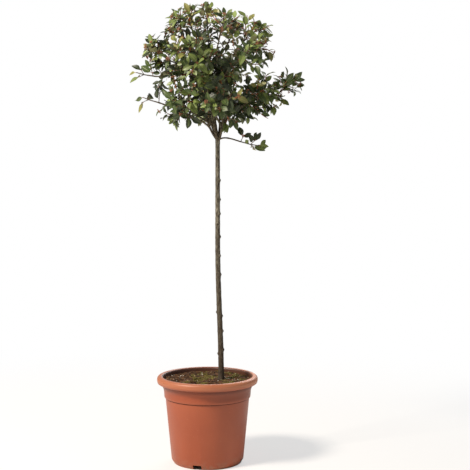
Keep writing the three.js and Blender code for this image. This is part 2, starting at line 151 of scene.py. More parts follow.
# Camera, lights, floor and sky
studio = {
    "lens": 74.11, "sensor": 36, "farthest": 200,
    "cameraPlace": (0.0903, -3.15, 0.887),
    "cameraPitch": 2.61,  # degrees down
    "aim": (0.0, 0.0, 0.85),
    "lamps": [  # name, place, size, watts, colour
        ("keyLamp", (-2.95, -2.0, 3.7), 1.0, 312, 0xfff4e6),
        ("fillLamp", (2.6, -2.6, 1.5), 2.4, 9, 0xfff5e8),
        ("backLamp", (0.9, 2.9, 2.3), 2.2, 52, 0xffffff),
    ],
    "skyLight": 0.18,
    "skyMirrored": 0.35,  # the white surroundings, as glossy faces mirror them
    "floorRadius": 14.0, "floorSides": 96,
    "potShade": 0.112,  # radius of the dark floor under the pot
    "floorGlow": 0.55,
    "floorFade": (0.4, 2.4),  # distances between which the floor brightens to white
}


def makeStudio():
    camera = addObject("camera", bpy.data.cameras.new("camera"))
    camera.data.lens = studio["lens"]
    camera.data.sensor_width = studio["sensor"]
    camera.data.clip_end = studio["farthest"]
    camera.location = studio["cameraPlace"]
    camera.rotation_euler = (math.radians(90 - studio["cameraPitch"]), 0, 0)
    scene.camera = camera
    for name, place, size, watts, colour in studio["lamps"]:
        lamp = bpy.data.lights.new(name, "AREA")
        lamp.size = size
        lamp.energy = watts
        lamp.color = tint(colour)[:3]
        holder = addObject(name, lamp)
        holder.location = place
        toAim = Vector(studio["aim"]) - Vector(place)
        holder.rotation_euler = toAim.to_track_quat("-Z", "Y").to_euler()

    world = bpy.data.worlds.new("sky")
    world.use_nodes = True
    tree = world.node_tree
    sky = tree.nodes["Background"]
    seen = tree.nodes.new("ShaderNodeLightPath")
    level = addMath(tree, "MULTIPLY_ADD", seen.outputs["Is Glossy Ray"], studio["skyMirrored"],
                    seen.outputs["Is Camera Ray"])
    feed(tree, sky.inputs["Strength"], addRange(tree, level, studio["skyLight"], 1.0))
    feed(tree, sky.inputs["Color"], (1, 1, 1, 1))
    scene.world = world
    scene.view_settings.view_transform = "Standard"

    bm = bmesh.new()
    bmesh.ops.create_circle(bm, cap_ends=True, segments=studio["floorSides"], radius=studio["floorRadius"])
    mesh = meshOf("floor", bm)
    floor = addObject("floor", mesh)
    paper = newFinish("paleFloor", 0xf4f3f1, 0.9, 0.1)
    tree = paper.node_tree
    x, y, z = objectPlace(tree)
    away = fromAxis(tree, x, y)
    bright = addRange(tree, away, studio["floorGlow"], 1.0, *studio["floorFade"], "SMOOTHSTEP")
    clearFloor = addMath(tree, "GREATER_THAN", away, studio["potShade"])
    seen = tree.nodes.new("ShaderNodeLightPath")
    share = both(tree, both(tree, bright, clearFloor), seen.outputs["Is Camera Ray"])
    glow = tree.nodes.new("ShaderNodeEmission")
    blend = tree.nodes.new("ShaderNodeMixShader")
    feed(tree, blend.inputs["Fac"], share)
    feed(tree, blend.inputs[1], tree.nodes["Principled BSDF"].outputs["BSDF"])
    feed(tree, blend.inputs[2], glow.outputs["Emission"])
    feed(tree, tree.nodes["Material Output"].inputs["Surface"], blend.outputs["Shader"])
    mesh.materials.append(paper)


makeStudio()
print("studio ready")


# The pot, in millimetres: the radius and height of each point of its profile, from the recess round the lip
pot = {
    "recess": [(0, 11), (111.5, 11), (106.5, 0.6)],
    "footRing": [(107.5, 0), (109.5, 0), (111.1, 0.7)],
    "body": [(117.5, 10.8), (118.2, 13), (137.3, 211.6)],
    "ledge": [(136.4, 212.6), (136.6, 213.7), (140.4, 214.4), (141, 215.2)],
    "neck": [(141.6, 221), (142, 229), (142.8, 237), (144.6, 243), (146.5, 247.5), (147.5, 251)],
    "groove": [(147.5, 268), (149, 269.5), (154, 269.5), (155.5, 267)],
    "skirt": [(155.8, 264.4), (156.6, 261.8), (158.4, 260.1), (160.8, 259.7), (162.8, 261.2), (164, 263.8),
              (164.7, 267), (165, 270.5)],
    "inside": [(145, 254), (139.2, 238), (138, 219.5), (134.5, 214), (115.4, 19), (107, 15.5), (105.5, 15),
               (0, 15)],
    "foot": 110.5, "chamfer": 12, "base": 118.2, "lip": 165, "lipInner": 145, "top": 283,
    "outerRound": 10, "outerSteps": 10, "innerRound": 6, "innerSteps": 7,
    "notches": 4, "firstNotch": 255, "notchWidth": 28, "notchHeight": 15, "notchDepth": 48, "notchRound": 2,
    "segments": 192,
}


# Finishes
mottleInputs = {"Scale": 10.0, "Stretch": 1.0, "Low": 0.35, "High": 0.65}
mottleDetail = 5.0


def makeMottle():  # soft blotches from 0 to 1, stretched along Z by the stretch
    group = bpy.data.node_groups.new("mottle", "ShaderNodeTree")
    face = group.interface
    for name, value in mottleInputs.items():
        face.new_socket(name, in_out="INPUT", socket_type="NodeSocketFloat").default_value = value
    face.new_socket("Mask", in_out="OUTPUT", socket_type="NodeSocketFloat")
    given = group.nodes.new("NodeGroupInput").outputs
    result = group.nodes.new("NodeGroupOutput")
    place = group.nodes.new("ShaderNodeTexCoord")
    shape = group.nodes.new("ShaderNodeCombineXYZ")
    scaled = group.nodes.new("ShaderNodeVectorMath")
    scaled.operation = "MULTIPLY"
    cloud = group.nodes.new("ShaderNodeTexNoise")
    shrink = addMath(group, "DIVIDE", 1.0, given["Stretch"])
    for name, value in (("X", 1.0), ("Y", 1.0), ("Z", shrink)):
        feed(group, shape.inputs[name], value)
    feed(group, scaled.inputs[0], place.outputs["Object"])
    feed(group, scaled.inputs[1], shape.outputs[0])
    for name, value in (("Vector", scaled.outputs[0]), ("Scale", given["Scale"]), ("Detail", mottleDetail)):
        feed(group, cloud.inputs[name], value)
    mask = addRange(group, cloud.outputs["Fac"], 0.0, 1.0, given["Low"], given["High"])
    feed(group, result.inputs["Mask"], mask)
    return group


mottleGroup = makeMottle()


def addMottle(tree, *values):  # scale, stretch, low, high
    node = tree.nodes.new("ShaderNodeGroup")
    node.node_tree = mottleGroup
    for name, value in {**mottleInputs, **dict(zip(mottleInputs, values))}.items():
        node.inputs[name].default_value = value
    return node.outputs["Mask"]


def addMix(tree, mask, first, second, amount=1.0):  # colours by mask: a code or a socket each
    node = tree.nodes.new("ShaderNodeMix")
    node.data_type = "RGBA"
    feed(tree, node.inputs["Factor"], both(tree, mask, amount) if amount < 1 else mask)
    for name, value in (("A", first), ("B", second)):
        entry = next(s for s in node.inputs if s.name == name and s.type == "RGBA")
        feed(tree, entry, tint(value) if isinstance(value, int) else value)
    return next(s for s in node.outputs if s.type == "RGBA")


def addLayers(tree, colour, layers):  # mask, colour and amount of each, from the lowest up
    for mask, code, amount in layers:
        colour = addMix(tree, mask, colour, code, amount)
    return colour


def addBump(tree, heights):  # mask and distance in metres of each, into the shader
    normal = None
    for height, distance in heights:
        node = tree.nodes.new("ShaderNodeBump")
        feed(tree, node.inputs["Distance"], distance)
        feed(tree, node.inputs["Height"], height)
        if normal:
            feed(tree, node.inputs["Normal"], normal)
        normal = node.outputs["Normal"]
    feed(tree, tree.nodes["Principled BSDF"].inputs["Normal"], normal)


def setShader(tree, colour, roughness=None):
    shader = tree.nodes["Principled BSDF"]
    feed(tree, shader.inputs["Base Color"], colour)
    if roughness:
        feed(tree, shader.inputs["Roughness"], roughness)


potWearAndPaintedLight = {  # heights, widths or radii in metres, over which each effect comes or goes: real dust and sun-bleaching, and painted shade, shadow and lit tone
    "footDust": (0.0, 0.035),
    "ledgeShadowUnder": (0.2095, 0.2125), "ledgeShadowOver": (0.2143, 0.2149),
    "neck": (0.2155, 0.226), "neckShadeAcross": (-0.02, 0.06),
    "underLipShade": (0.243, 0.252), "underLipShadeAcross": (-0.06, 0.02),
    "lipBase": (0.255, 0.26), "mouthShade": (0.1465, 0.151),
    "fadedAndSheen": (0.26, 0.269), "litLipAcross": (0.03, 0.13),
    "notchShadeMargin": (0.7, 0.02),  # millimetres that the painted shade keeps inside the foot and under a notch's top
}


def addHollowShade(tree, x, y, z):  # 1 in the foot's notches and recess and on the inner wall above the soil: painted shade where these hollows lie in shadow
    inward, below = potWearAndPaintedLight["notchShadeMargin"]
    away = fromAxis(tree, x, y)
    onChamfer = addMath(tree, "MINIMUM", z, pot["chamfer"] * mm)
    steepness = (pot["base"] - pot["foot"]) / pot["chamfer"]
    footRadius = addMath(tree, "MULTIPLY_ADD", onChamfer, -steepness, away)
    inside = addMath(tree, "LESS_THAN", footRadius, (pot["foot"] - inward) * mm)
    low = addMath(tree, "LESS_THAN", z, (pot["notchHeight"] - below) * mm)
    aboveSoil = rise(tree, z, potWearAndPaintedLight["lipBase"])
    inMouth = fall(tree, away, potWearAndPaintedLight["mouthShade"])
    return addMath(tree, "MULTIPLY_ADD", aboveSoil, inMouth, both(tree, inside, low))


def makePotPlastic():
    finish = newFinish("potPlastic", 0xaa5a3c, 0.42, 0.5)
    tree = finish.node_tree
    x, y, z = objectPlace(tree)
    cloud = addMottle(tree, 9)
    streak = addMottle(tree, 42, 14, 0.4, 0.7)
    dust = addMottle(tree, 60, 1, 0.42, 0.62)
    scuff = addMottle(tree, 130, 0.25, 0.66, 0.72)
    peel = addMottle(tree, 900, 1, 0.3, 0.7)
    dusty = both(tree, dust, fall(tree, z, potWearAndPaintedLight["footDust"], 0.55))
    # the lip's top paler: partly sun-bleached plastic, partly a painted sheen from above
    fadedAndSheen = rise(tree, z, potWearAndPaintedLight["fadedAndSheen"], 0.85)
    # painted lit tone: the lip's top paler towards its right side
    litLipSide = both(tree, fadedAndSheen, rise(tree, x, potWearAndPaintedLight["litLipAcross"], 0.45))
    belowLip = fall(tree, z, potWearAndPaintedLight["lipBase"])
    # painted shadow: a dark band just under the lip, deeper towards the right
    underLipShade = both(tree, rise(tree, z, potWearAndPaintedLight["underLipShade"]), belowLip)
    unevenLipShadow = both(tree, underLipShade, addRange(tree, x, 0.3, 0.9, *potWearAndPaintedLight["underLipShadeAcross"]))
    # painted shade: the neck under the lip darker and redder, and darker still on its right side
    neck = both(tree, rise(tree, z, potWearAndPaintedLight["neck"]), belowLip)
    neckShade = both(tree, neck, rise(tree, x, potWearAndPaintedLight["neckShadeAcross"], 0.42))
    # painted shadow: a thin dark line under the ledge's step
    line = both(tree, rise(tree, z, potWearAndPaintedLight["ledgeShadowUnder"]), fall(tree, z, potWearAndPaintedLight["ledgeShadowOver"]))
    colour = addLayers(tree, addMix(tree, cloud, 0x98492b, 0xa05031), [
        (streak, 0x944a30, 0.15),
        (dusty, 0x94705a, 1.0),
        (scuff, 0xbf7e5e, 0.3),
        (fadedAndSheen, 0xad6a49, 1.0),
        (litLipSide, 0xd08e68, 1.0),
        (unevenLipShadow, 0x4f2517, 1.0),
        (neck, 0x8c3a18, 0.45),
        (neckShade, 0x5f3020, 1.0),
        (line, 0x5c2c1c, 0.7),
        # painted shade in the foot's hollows and on the inner wall above the soil
        (addHollowShade(tree, x, y, z), 0x2a1610, 0.85),
    ])
    setShader(tree, colour, addRange(tree, cloud, 0.4, 0.52))
    addBump(tree, [(peel, 0.00008), (streak, 0.0001)])
    return finish


def makeCompost():
    finish = newFinish("compost", 0x54402a, 0.95, 0.2)
    tree = finish.node_tree
    crumbs = addMottle(tree, 170, 1, 0.38, 0.62)
    fine = addMottle(tree, 600)
    cover = tree.nodes.new("ShaderNodeAttribute")
    cover.attribute_name = "moss"
    green = addMix(tree, fine, 0x433b1c, 0x746634)
    colour = addMix(tree, crumbs, 0x1c1008, 0x5a3d24)
    colour = addMix(tree, fine, colour, 0x7a5a3a, 0.25)
    setShader(tree, addMix(tree, cover.outputs["Fac"], colour, green))
    addBump(tree, [(crumbs, 0.002), (fine, 0.0008)])
    return finish


footShade = (0.3, 0.95)  # heights in metres, over which the darker colour of the stem's foot fades out


def makeBark(name, dark, pale, green, lower):  # lower: how far the stem darkens towards its foot
    finish = newFinish(name, pale, 0.82, 0.3)
    tree = finish.node_tree
    x, y, z = objectPlace(tree)
    blotch = addMottle(tree, 38, 2.5, 0.36, 0.64)
    furrow = addMottle(tree, 420, 7, 0.4, 0.62)
    speck = addMottle(tree, 300, 0.7, 0.6, 0.66)
    bloom = addMottle(tree, 16, 3, 0.42, 0.66)
    colour = addMix(tree, blotch, dark, pale)
    colour = addMix(tree, bloom, colour, green, 0.55)
    colour = addMix(tree, furrow, 0x2f281e, colour)
    colour = addMix(tree, speck, colour, 0xa39c8b, 0.6)
    colour = addMix(tree, fall(tree, z, footShade, lower), colour, 0x3f3227)
    setShader(tree, colour, addRange(tree, blotch, 0.72, 0.9))
    addBump(tree, [(furrow, 0.0005), (speck, 0.0003)])
    return finish


def makeMottled(name, first, second, scale, roughness=0.9):
    finish = newFinish(name, first, roughness, 0.25)
    tree = finish.node_tree
    setShader(tree, addMix(tree, addMottle(tree, scale), first, second))
    addBump(tree, [(addMottle(tree, 900), 0.0003)])
    return finish


potPlastic = makePotPlastic()
compost = makeCompost()
trunkBark = makeBark("trunkBark", 0x6a6557, 0x9a9584, 0x82846f, 0.85)
limbBark = makeBark("limbBark", 0x5a4a3a, 0x7c6d5a, 0x6b6a4c, 0.0)
print("finishes ready")


# Meshes from templates
def arraysOf(bm):  # a bmesh as points, loop corners, face sizes and face finishes
    bm.verts.index_update()
    points = np.array([v.co[:] for v in bm.verts])
    corners = np.array([loop.vert.index for f in bm.faces for loop in f.loops])
    sizes = np.array([len(f.verts) for f in bm.faces])
    marks = np.array([f.material_index for f in bm.faces])
    bm.free()
    return {"points": points, "corners": corners, "sizes": sizes, "marks": marks}


class Heap:  # copies of templates, joined into one mesh
    def __init__(self):
        self.parts, self.count = [], 0

    def put(self, template, points):
        self.parts.append((points, template["corners"] + self.count, template["sizes"], template["marks"]))
        self.count += len(points)

    def mesh(self, name):
        points, corners, sizes, marks = (np.concatenate(rows) for rows in zip(*self.parts))
        starts = np.concatenate([[0], np.cumsum(sizes)[:-1]])
        mesh = bpy.data.meshes.new(name)
        mesh.vertices.add(len(points))
        mesh.vertices.foreach_set("co", points.astype(np.float32).ravel())
        mesh.loops.add(len(corners))
        mesh.loops.foreach_set("vertex_index", corners.astype(np.int32))
        mesh.polygons.add(len(sizes))
        mesh.polygons.foreach_set("loop_start", starts.astype(np.int32))
        mesh.polygons.foreach_set("material_index", marks.astype(np.int32))
        mesh.update(calc_edges=True)
        mesh.validate()
        return mesh


def addPiece(name, mesh, finishes, slotName, *nodes, sharp=40):
    mesh.polygons.foreach_set("use_smooth", np.ones(len(mesh.polygons), bool))
    mesh.set_sharp_from_angle(angle=math.radians(sharp))
    for finish in finishes:
        mesh.materials.append(finish)
    piece = addObject(name, mesh)
    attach(piece, "root")
    if nodes:
        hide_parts(*nodes)


def spun(profile, steps):  # a closed profile from axis to axis, turned on Z
    bm = bmesh.new()
    verts = [bm.verts.new((x * mm, 0, z * mm)) for x, z in profile]
    edges = [bm.edges.new(pair) for pair in zip(verts, verts[1:])]
    bmesh.ops.spin(bm, geom=verts + edges, cent=(0, 0, 0), axis=(0, 0, 1), angle=math.tau, steps=steps,
                   use_merge=True, use_duplicate=False)
    bmesh.ops.remove_doubles(bm, verts=bm.verts, dist=1e-6)
    bmesh.ops.recalc_face_normals(bm, faces=bm.faces)
    return bm


def arc(centreX, centreZ, radius, first, last, steps):
    turns = [math.radians(mix(first, last, i / steps)) for i in range(steps + 1)]
    return [(centreX + radius * math.cos(t), centreZ + radius * math.sin(t)) for t in turns]


def makePot():  # spun from its profile, with the notches cut out of its foot
    p = pot
    outer, inner = p["outerRound"], p["innerRound"]
    outside = p["recess"] + p["footRing"] + p["body"] + p["ledge"] + p["neck"] + p["groove"] + p["skirt"]
    rolled = arc(p["lip"] - outer, p["top"] - outer, outer, 0, 90, p["outerSteps"])
    rolled += arc(p["lipInner"] + inner, p["top"] - inner, inner, 90, 180, p["innerSteps"])
    mesh = meshOf("pot_shell", spun(outside + rolled + p["inside"], p["segments"]))
    bm = bmesh.new()
    for i in range(p["notches"]):
        turn = Matrix.Rotation(math.radians(p["firstNotch"] + 360 / p["notches"] * i), 4, "Z")
        shape = Matrix.Diagonal((p["notchDepth"] * mm, p["notchWidth"] * mm, 2 * p["notchHeight"] * mm, 1))
        bmesh.ops.create_cube(bm, size=1, matrix=turn @ Matrix.Translation((p["base"] * mm, 0, 0)) @ shape)
    level = [e for e in bm.edges if abs(e.verts[0].co.z + e.verts[1].co.z) > p["notchHeight"] * mm]
    bmesh.ops.bevel(bm, geom=level, offset=p["notchRound"] * mm, offset_type="OFFSET", segments=3,
                    affect="EDGES", profile=0.5, material=-1)
    cutter = addObject("notchCutter", meshOf("notchCutter", bm))
    whole = addObject("wholePot", mesh)
    cut = whole.modifiers.new("notches", "BOOLEAN")
    cut.operation = "DIFFERENCE"
    cut.solver = "EXACT"
    cut.object = cutter
    made = bpy.data.meshes.new_from_object(whole.evaluated_get(bpy.context.evaluated_depsgraph_get()))
    for spare in (whole, cutter):
        bpy.data.objects.remove(spare)
    made.materials.clear()
    addPiece("pot_shell", made, [potPlastic], "pot", "pot", sharp=32)


makePot()
print("pot made")


# The compost, with moss, bark chips and grains on it
soil = {
    "level": 269, "rim": 143.4, "rings": 74, "segments": 220,
    "side": [(0, 15.4), (106, 15.4), (114.6, 20), (134, 214), (137.4, 219.5), (138.7, 238)],
    "lump": 2.2, "waveLengths": [75, 88, 57], "edgeFade": 20, "stemX": 45, "flatRadius": 34,
    "crumb": 1.5, "crumbSize": 11, "crumbOctaves": (0.9, 2.1, 4),
    "cushion": 2.2, "cushionSize": 6, "cushionPuff": (0.6, 0.5),
}
moss = {
    "patchSize": 38, "edgeSize": 9, "edgeShare": 0.45, "from": -0.02, "full": 0.3,
    "bareLeft": (55, 90), "bareShift": 0.7,  # how far left of the middle the moss thins out
}
litter = {
    "seed": 7, "rimMargin": 3, "stemMargin": 12, "narrowest": 0.45, "thickness": (0.7, 1.2), "tilt": 0.35,
    "smallBias": 1.6, "sink": 0.2, "lift": 0.3, "roundness": 0.16, "bareBelow": 0.75, "mossyAbove": 0.25,
    "palePatches": [(-101, 58, 24), (70, 12, 20)],  # where most of the white grains lie: x, y, radius
    "strayShare": 0.12,
    "chipSquash": (0.22, 0.34, 0.18), "chipNoise": 1.7, "speckleScale": 90,
    "grain": (1, 0.8, 0.5), "tuft": (2, 0.5, 0.9), "kinds": 3, "tuftSeed": 5,
}
ballNoise = 3


def mossAt(x, y):  # millimetres
    patch, edge = moss["patchSize"], moss["edgeSize"]
    wide = noise.noise(Vector((x / patch + 4.2, y / patch, 1.7)))
    wide -= moss["bareShift"] * smoothStep(-x, *moss["bareLeft"])
    ragged = noise.noise(Vector((x / edge, y / edge, 5.1)))
    return smoothStep(wide + moss["edgeShare"] * ragged, moss["from"], moss["full"])


def soilHeight(x, y):
    away = math.hypot(x - soil["stemX"], y)
    stemFade = smoothStep(away, soil["flatRadius"], 2 * soil["flatRadius"])
    edgeFade = min(1, max(0, (soil["rim"] - math.hypot(x, y)) / soil["edgeFade"]))
    waves = sum(math.sin(math.tau * way / size) for way, size in zip((x, y, x - y), soil["waveLengths"]))
    crumbs = noise.fractal(Vector((x / soil["crumbSize"], y / soil["crumbSize"], 0.3)), *soil["crumbOctaves"])
    puff = noise.noise(Vector((x / soil["cushionSize"], y / soil["cushionSize"], 9)))
    least, swing = soil["cushionPuff"]
    cushion = soil["cushion"] * mossAt(x, y) * (least + swing * puff)
    return soil["level"] + edgeFade * (soil["lump"] * stemFade * waves + soil["crumb"] * crumbs + cushion)


def makeSoil():
    rings = [(soil["rim"] * (1 - i / soil["rings"]), soil["level"]) for i in range(soil["rings"] + 1)]
    bm = spun(soil["side"] + rings, soil["segments"])
    for v in bm.verts:
        if v.co.z > (soil["level"] - 1) * mm:
            v.co.z = soilHeight(v.co.x / mm, v.co.y / mm) * mm
    mesh = meshOf("compost_top", bm)
    cover = mesh.attributes.new("moss", "FLOAT", "POINT")
    cover.data.foreach_set("value", [mossAt(v.co.x / mm, v.co.y / mm) for v in mesh.vertices])
    addPiece("compost_top", mesh, [compost], "soil", "soil", sharp=60)


def chipTemplate(squash, seed):
    bm = bmesh.new()
    bmesh.ops.create_cube(bm, size=1)
    bmesh.ops.bevel(bm, geom=bm.edges[:], offset=litter["roundness"], offset_type="OFFSET", segments=1,
                    affect="EDGES", profile=0.5, material=-1)
    for v in bm.verts:
        v.co += litter["roundness"] * noise.noise_vector(v.co * litter["chipNoise"] + Vector((seed, 0, 0)))
        v.co.z *= squash
    return arraysOf(bm)


def ballTemplate(detail, squash, rough, seed):
    bm = bmesh.new()
    bmesh.ops.create_icosphere(bm, subdivisions=detail, radius=0.5)
    for v in bm.verts:
        v.co *= 1 + rough * noise.noise(v.co * ballNoise + Vector((seed, 0, 0)))
        v.co.z *= squash
    return arraysOf(bm)


def scatter(heap, templates, count, random, size, keep):  # size: smallest, largest, in millimetres
    placed = 0
    while placed < count:
        reach = (soil["rim"] - litter["rimMargin"]) * math.sqrt(random.random())
        angle = math.tau * random.random()
        x, y = reach * math.cos(angle), reach * math.sin(angle)
        if math.hypot(x - soil["stemX"], y) < litter["stemMargin"] or not keep(x, y, random):
            continue
        shape = np.array([1, random.uniform(litter["narrowest"], 1), random.uniform(*litter["thickness"])])
        long = mix(size[0], size[1], random.random() ** litter["smallBias"])
        turn = Matrix.Rotation(math.tau * random.random(), 3, "Z")
        lean = random.uniform(-litter["tilt"], litter["tilt"])
        tilt = Matrix.Rotation(lean, 3, Vector((random.random(), random.random(), 0.1)))
        template = templates[random.integers(len(templates))]
        points = template["points"] * shape * long @ np.array(turn @ tilt).T
        points += (x, y, soilHeight(x, y) + litter["sink"] * points[:, 2].min() + litter["lift"])
        heap.put(template, points * mm)
        placed += 1


def makeLitterPieces():
    random = np.random.default_rng(litter["seed"])
    chips = [chipTemplate(squash, k) for k, squash in enumerate(litter["chipSquash"])]
    grains = [ballTemplate(*litter["grain"], k) for k in range(litter["kinds"])]
    tufts = [ballTemplate(*litter["tuft"], k + litter["tuftSeed"]) for k in range(litter["kinds"])]
    bare = lambda x, y, r: mossAt(x, y) < litter["bareBelow"]
    mossy = lambda x, y, r: mossAt(x, y) > litter["mossyAbove"]
    anywhere = lambda x, y, r: True
    inPatch = lambda x, y: any(math.hypot(x - a, y - b) < size for a, b, size in litter["palePatches"])
    patchy = lambda x, y, r: inPatch(x, y) or r.random() < litter["strayShare"]
    kinds = [  # name, templates, how many, sizes, where, colours
        ("bark_chips", chips, 520, (2.5, 12), bare, 0x301e12, 0x724e30),
        ("pale_chips", chips, 90, (2, 7), anywhere, 0x8d7457, 0xb59c78),
        ("white_grains", grains, 110, (1.6, 5), patchy, 0xc9c4b6, 0xe8e4da),
        ("moss_tufts", tufts, 620, (2.5, 8.5), mossy, 0x4c451c, 0x7f743c),
    ]
    for name, templates, count, size, keep, first, second in kinds:
        heap = Heap()
        scatter(heap, templates, count, random, size, keep)
        finish = makeMottled(name + "Finish", first, second, litter["speckleScale"])
        addPiece(name, heap.mesh(name), [finish], "soil", sharp=50)


makeSoil()
makeLitterPieces()
print("compost made")


# The rule by which the plant grows, in millimetres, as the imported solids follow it
seatGap = 0.35
footHeight = soil["level"] + seatGap
trunk = {
    "footX": 45, "topX": 34, "straightFrom": 708, "sway": 2.2, "waves": 7, "height": 798,
    "footRadius": 9.2, "topRadius": 7.2, "flare": 3.2, "flareHeight": 14, "collar": 1.6, "collarHeight": 15,
    "steps": 80,
}
knots = [  # height and azimuth of each
    (353, 172), (366, 4), (428, -16), (477, 18), (490, 186), (548, 95), (613, 0), (675, -24),
    (737, 14), (778, 260), (812, -10), (858, 22), (920, 0),
]
forkHeight = footHeight + trunk["height"]
crown = {
    "centre": Vector((15, 0, 1293)), "shell": 62, "outerRadius": 230, "border": 0.9, "firstSeed": 101,
    "openTop": 1124, "openRadius": 50, "archTop": 1136, "archSlope": 0.62, "archDepth": 0.25,
}
tiers = {
    "mid": {
        "firstAzimuth": 10, "rise": 24, "lift": 0.05, "elevations": [18, 4, 4, 9, 4, 4],
        "reaches": [219, 232, 234, 234, 236, 230], "fullness": [0.5, 0.6, 0.6, 0.6, 0.6, 0.55],
    },
    "top": {
        "firstAzimuth": 180, "rise": 86, "lift": 0.05, "elevations": [84],
        "reaches": [207], "fullness": [0.38],
    },
    "low": {
        "firstAzimuth": -15, "rise": 28, "lift": -0.35, "elevations": [-28, -40, -40, -44, -40, -40],
        "reaches": [262, 250, 248, 246, 252, 252], "fullness": [0.5, 0.5, 0.5, 0.42, 0.26, 0.5],
    },
    "high": {
        "firstAzimuth": -10, "rise": 50, "lift": 0.05, "elevations": [38, 46, 48, 46, 48, 46],
        "reaches": [226, 214, 222, 218, 222, 214], "fullness": [0.28, 0.36, 0.4, 0.4, 0.4, 0.34],
    },
}
sprayDefaults = {"radius": 56, "pairs": 1, "limb": (2.4, 2.2), "fullness": 0, "sparse": 0}
sprays = {  # sparse: the share of first leaf pairs left out
    "right_spray": {
        "parent": "bough_1", "start": 0.31, "middle": (258, -12, 1222), "radius": 66, "azimuth": 2,
        "rise": 36, "stem": 54, "pairs": 3, "twig": 34, "limb": (3.2, 2.4), "lift": 0.15,
    },
    "lower_spray": {
        "parent": "low_limb_1", "start": 0.75, "middle": (226, 8, 1188), "radius": 60, "azimuth": 8,
        "rise": 10, "stem": 56, "twig": 30, "fullness": 0.7, "lift": 0.1,
    },
    "left_spray": {
        "parent": "low_limb_4", "start": 0.6, "middle": (-188, 8, 1182), "azimuth": 176,
        "rise": 16, "stem": 42, "twig": 20, "lift": -0.55, "sparse": 0.6,
    },
    "left_wisp": {
        "parent": "bough_4", "start": 0.82, "middle": (-200, -18, 1260), "azimuth": 186,
        "rise": 8, "stem": 54, "twig": 22, "lift": -0.1, "sparse": 1,
    },
    "drooping_spray": {
        "parent": "trunk", "start": 0.978, "middle": (138, -4, 1038), "radius": 60, "azimuth": -4,
        "rise": -16, "stem": 60, "twig": 26, "lift": 0.45,
    },
}
curveSteps = 60
directionStep = 0.004  # share of a course's length, either way, over which its direction is read
limbPull = 0.36
boughSizes = (3.6, 2.6)
bough = {"firstFoot": -5, "footStep": -3.4, "steepness": 46}
leader = {"foot": -6, "azimuth": 200, "steepness": 80}
lowLimb = {"sizes": (3, 2.5), "start": 0.17}
highLimb = {"sizes": (2.8, 2.5), "start": 0.5}
growth = {
    "stemLength": 92, "stemPast": 6, "stemTipRadius": 2.1, "pairs": 3, "firstPair": 0.22, "lastPair": 0.86,
    "firstAngle": 66, "lastAngle": 44, "twigLength": 60, "twigShrink": 0.3, "twigTries": [1, 0.75, 0.5],
    "twigJitter": 0.15, "twigRadius": 1.4, "twigMargin": 3, "twigSteps": 8,
    "turnJitter": 0.25, "upturn": 0.12, "faceLift": 0.9, "faceJitter": 0.25,
    "testStep": 4, "testMargin": 8, "stemEndRadius": 1.6, "twigRadii": (1.5, 1.0),
}


def seeded(seed):  # draws from 0 to 1, the same in each run
    state = seed

    def draw():
        nonlocal state
        state = (state + 0x6D2B79F5) & 0xFFFFFFFF
        t = ((state ^ (state >> 15)) * (state | 1)) & 0xFFFFFFFF
        t ^= (t + ((t ^ (t >> 7)) * (t | 61))) & 0xFFFFFFFF
        return (t ^ (t >> 14)) / 2 ** 32

    return draw


def spread(draw, amount):
    return amount * (2 * draw() - 1)


def levelSpread(draw, amount):
    return Vector((spread(draw, amount), spread(draw, amount), 0))


def heading(azimuth, elevation):
    a, e = math.radians(azimuth), math.radians(elevation)
    return Vector((math.cos(e) * math.cos(a), math.cos(e) * math.sin(a), math.sin(e)))


def branchOff(axis, turn, angle):
    reference = up if abs(axis.z) < 0.9 else Vector((1, 0, 0))
    side = reference.cross(axis).normalized()
    side.rotate(Quaternion(axis, turn))
    return side * math.sin(math.radians(angle)) + axis * math.cos(math.radians(angle))


class Course:  # a line in space, read by the share of its length
    def __init__(self, points):
        self.points = np.array([p[:] for p in points])
        steps = np.linalg.norm(np.diff(self.points, axis=0), axis=1)
        self.reach = np.concatenate([[0], np.cumsum(steps)])
        self.length = self.reach[-1]

    def at(self, u):
        return Vector([np.interp(u * self.length, self.reach, self.points[:, k]) for k in range(3)])

    def way(self, u):
        return (self.at(min(1, u + directionStep)) - self.at(max(0, u - directionStep))).normalized()


def sweep(start, startWay, end, endWay):
    pull = limbPull * (end - start).length
    a, b = start + startWay * pull, end - endWay * pull
    points = []
    for i in range(curveSteps + 1):
        t = i / curveSteps
        s = 1 - t
        points.append(start * s ** 3 + a * 3 * t * s ** 2 + b * 3 * t * t * s + end * t ** 3)
    return Course(points)


def trunkAt(height):
    bend = smoothStep(trunk["straightFrom"] - height, 0, trunk["straightFrom"] - footHeight)
    sway = trunk["sway"] * math.sin(trunk["waves"] * (height - footHeight) / trunk["height"])
    return Vector((mix(trunk["topX"], trunk["footX"], bend), sway, height))


def trunkRadius(u):
    fromFoot = u * trunk["height"]
    fromFork = trunk["height"] - fromFoot
    flare = trunk["flare"] * math.exp(-fromFoot / trunk["flareHeight"])
    collar = trunk["collar"] * math.exp(-((fromFork / trunk["collarHeight"]) ** 2))
    return mix(trunk["footRadius"], trunk["topRadius"], u) + flare + collar


trunkShares = [i / trunk["steps"] for i in range(trunk["steps"] + 1)]
trunkCourse = Course([trunkAt(mix(footHeight, forkHeight, u)) for u in trunkShares])
limbs = {"trunk": {"course": trunkCourse, "radiusAt": trunkRadius}}
masses = []


def addLimb(name, course, sizes):
    first, last = sizes
    limbs[name] = {"course": course, "radiusAt": lambda u: mix(first, last, u)}


def addBranch(name, parent, place, entry, grows, sizes):
    bearer = limbs[parent]["course"]
    start = bearer.at(place)
    startWay = ((entry - start).normalized() + bearer.way(place)).normalized()
    addLimb(name, sweep(start, startWay, entry, grows), sizes)


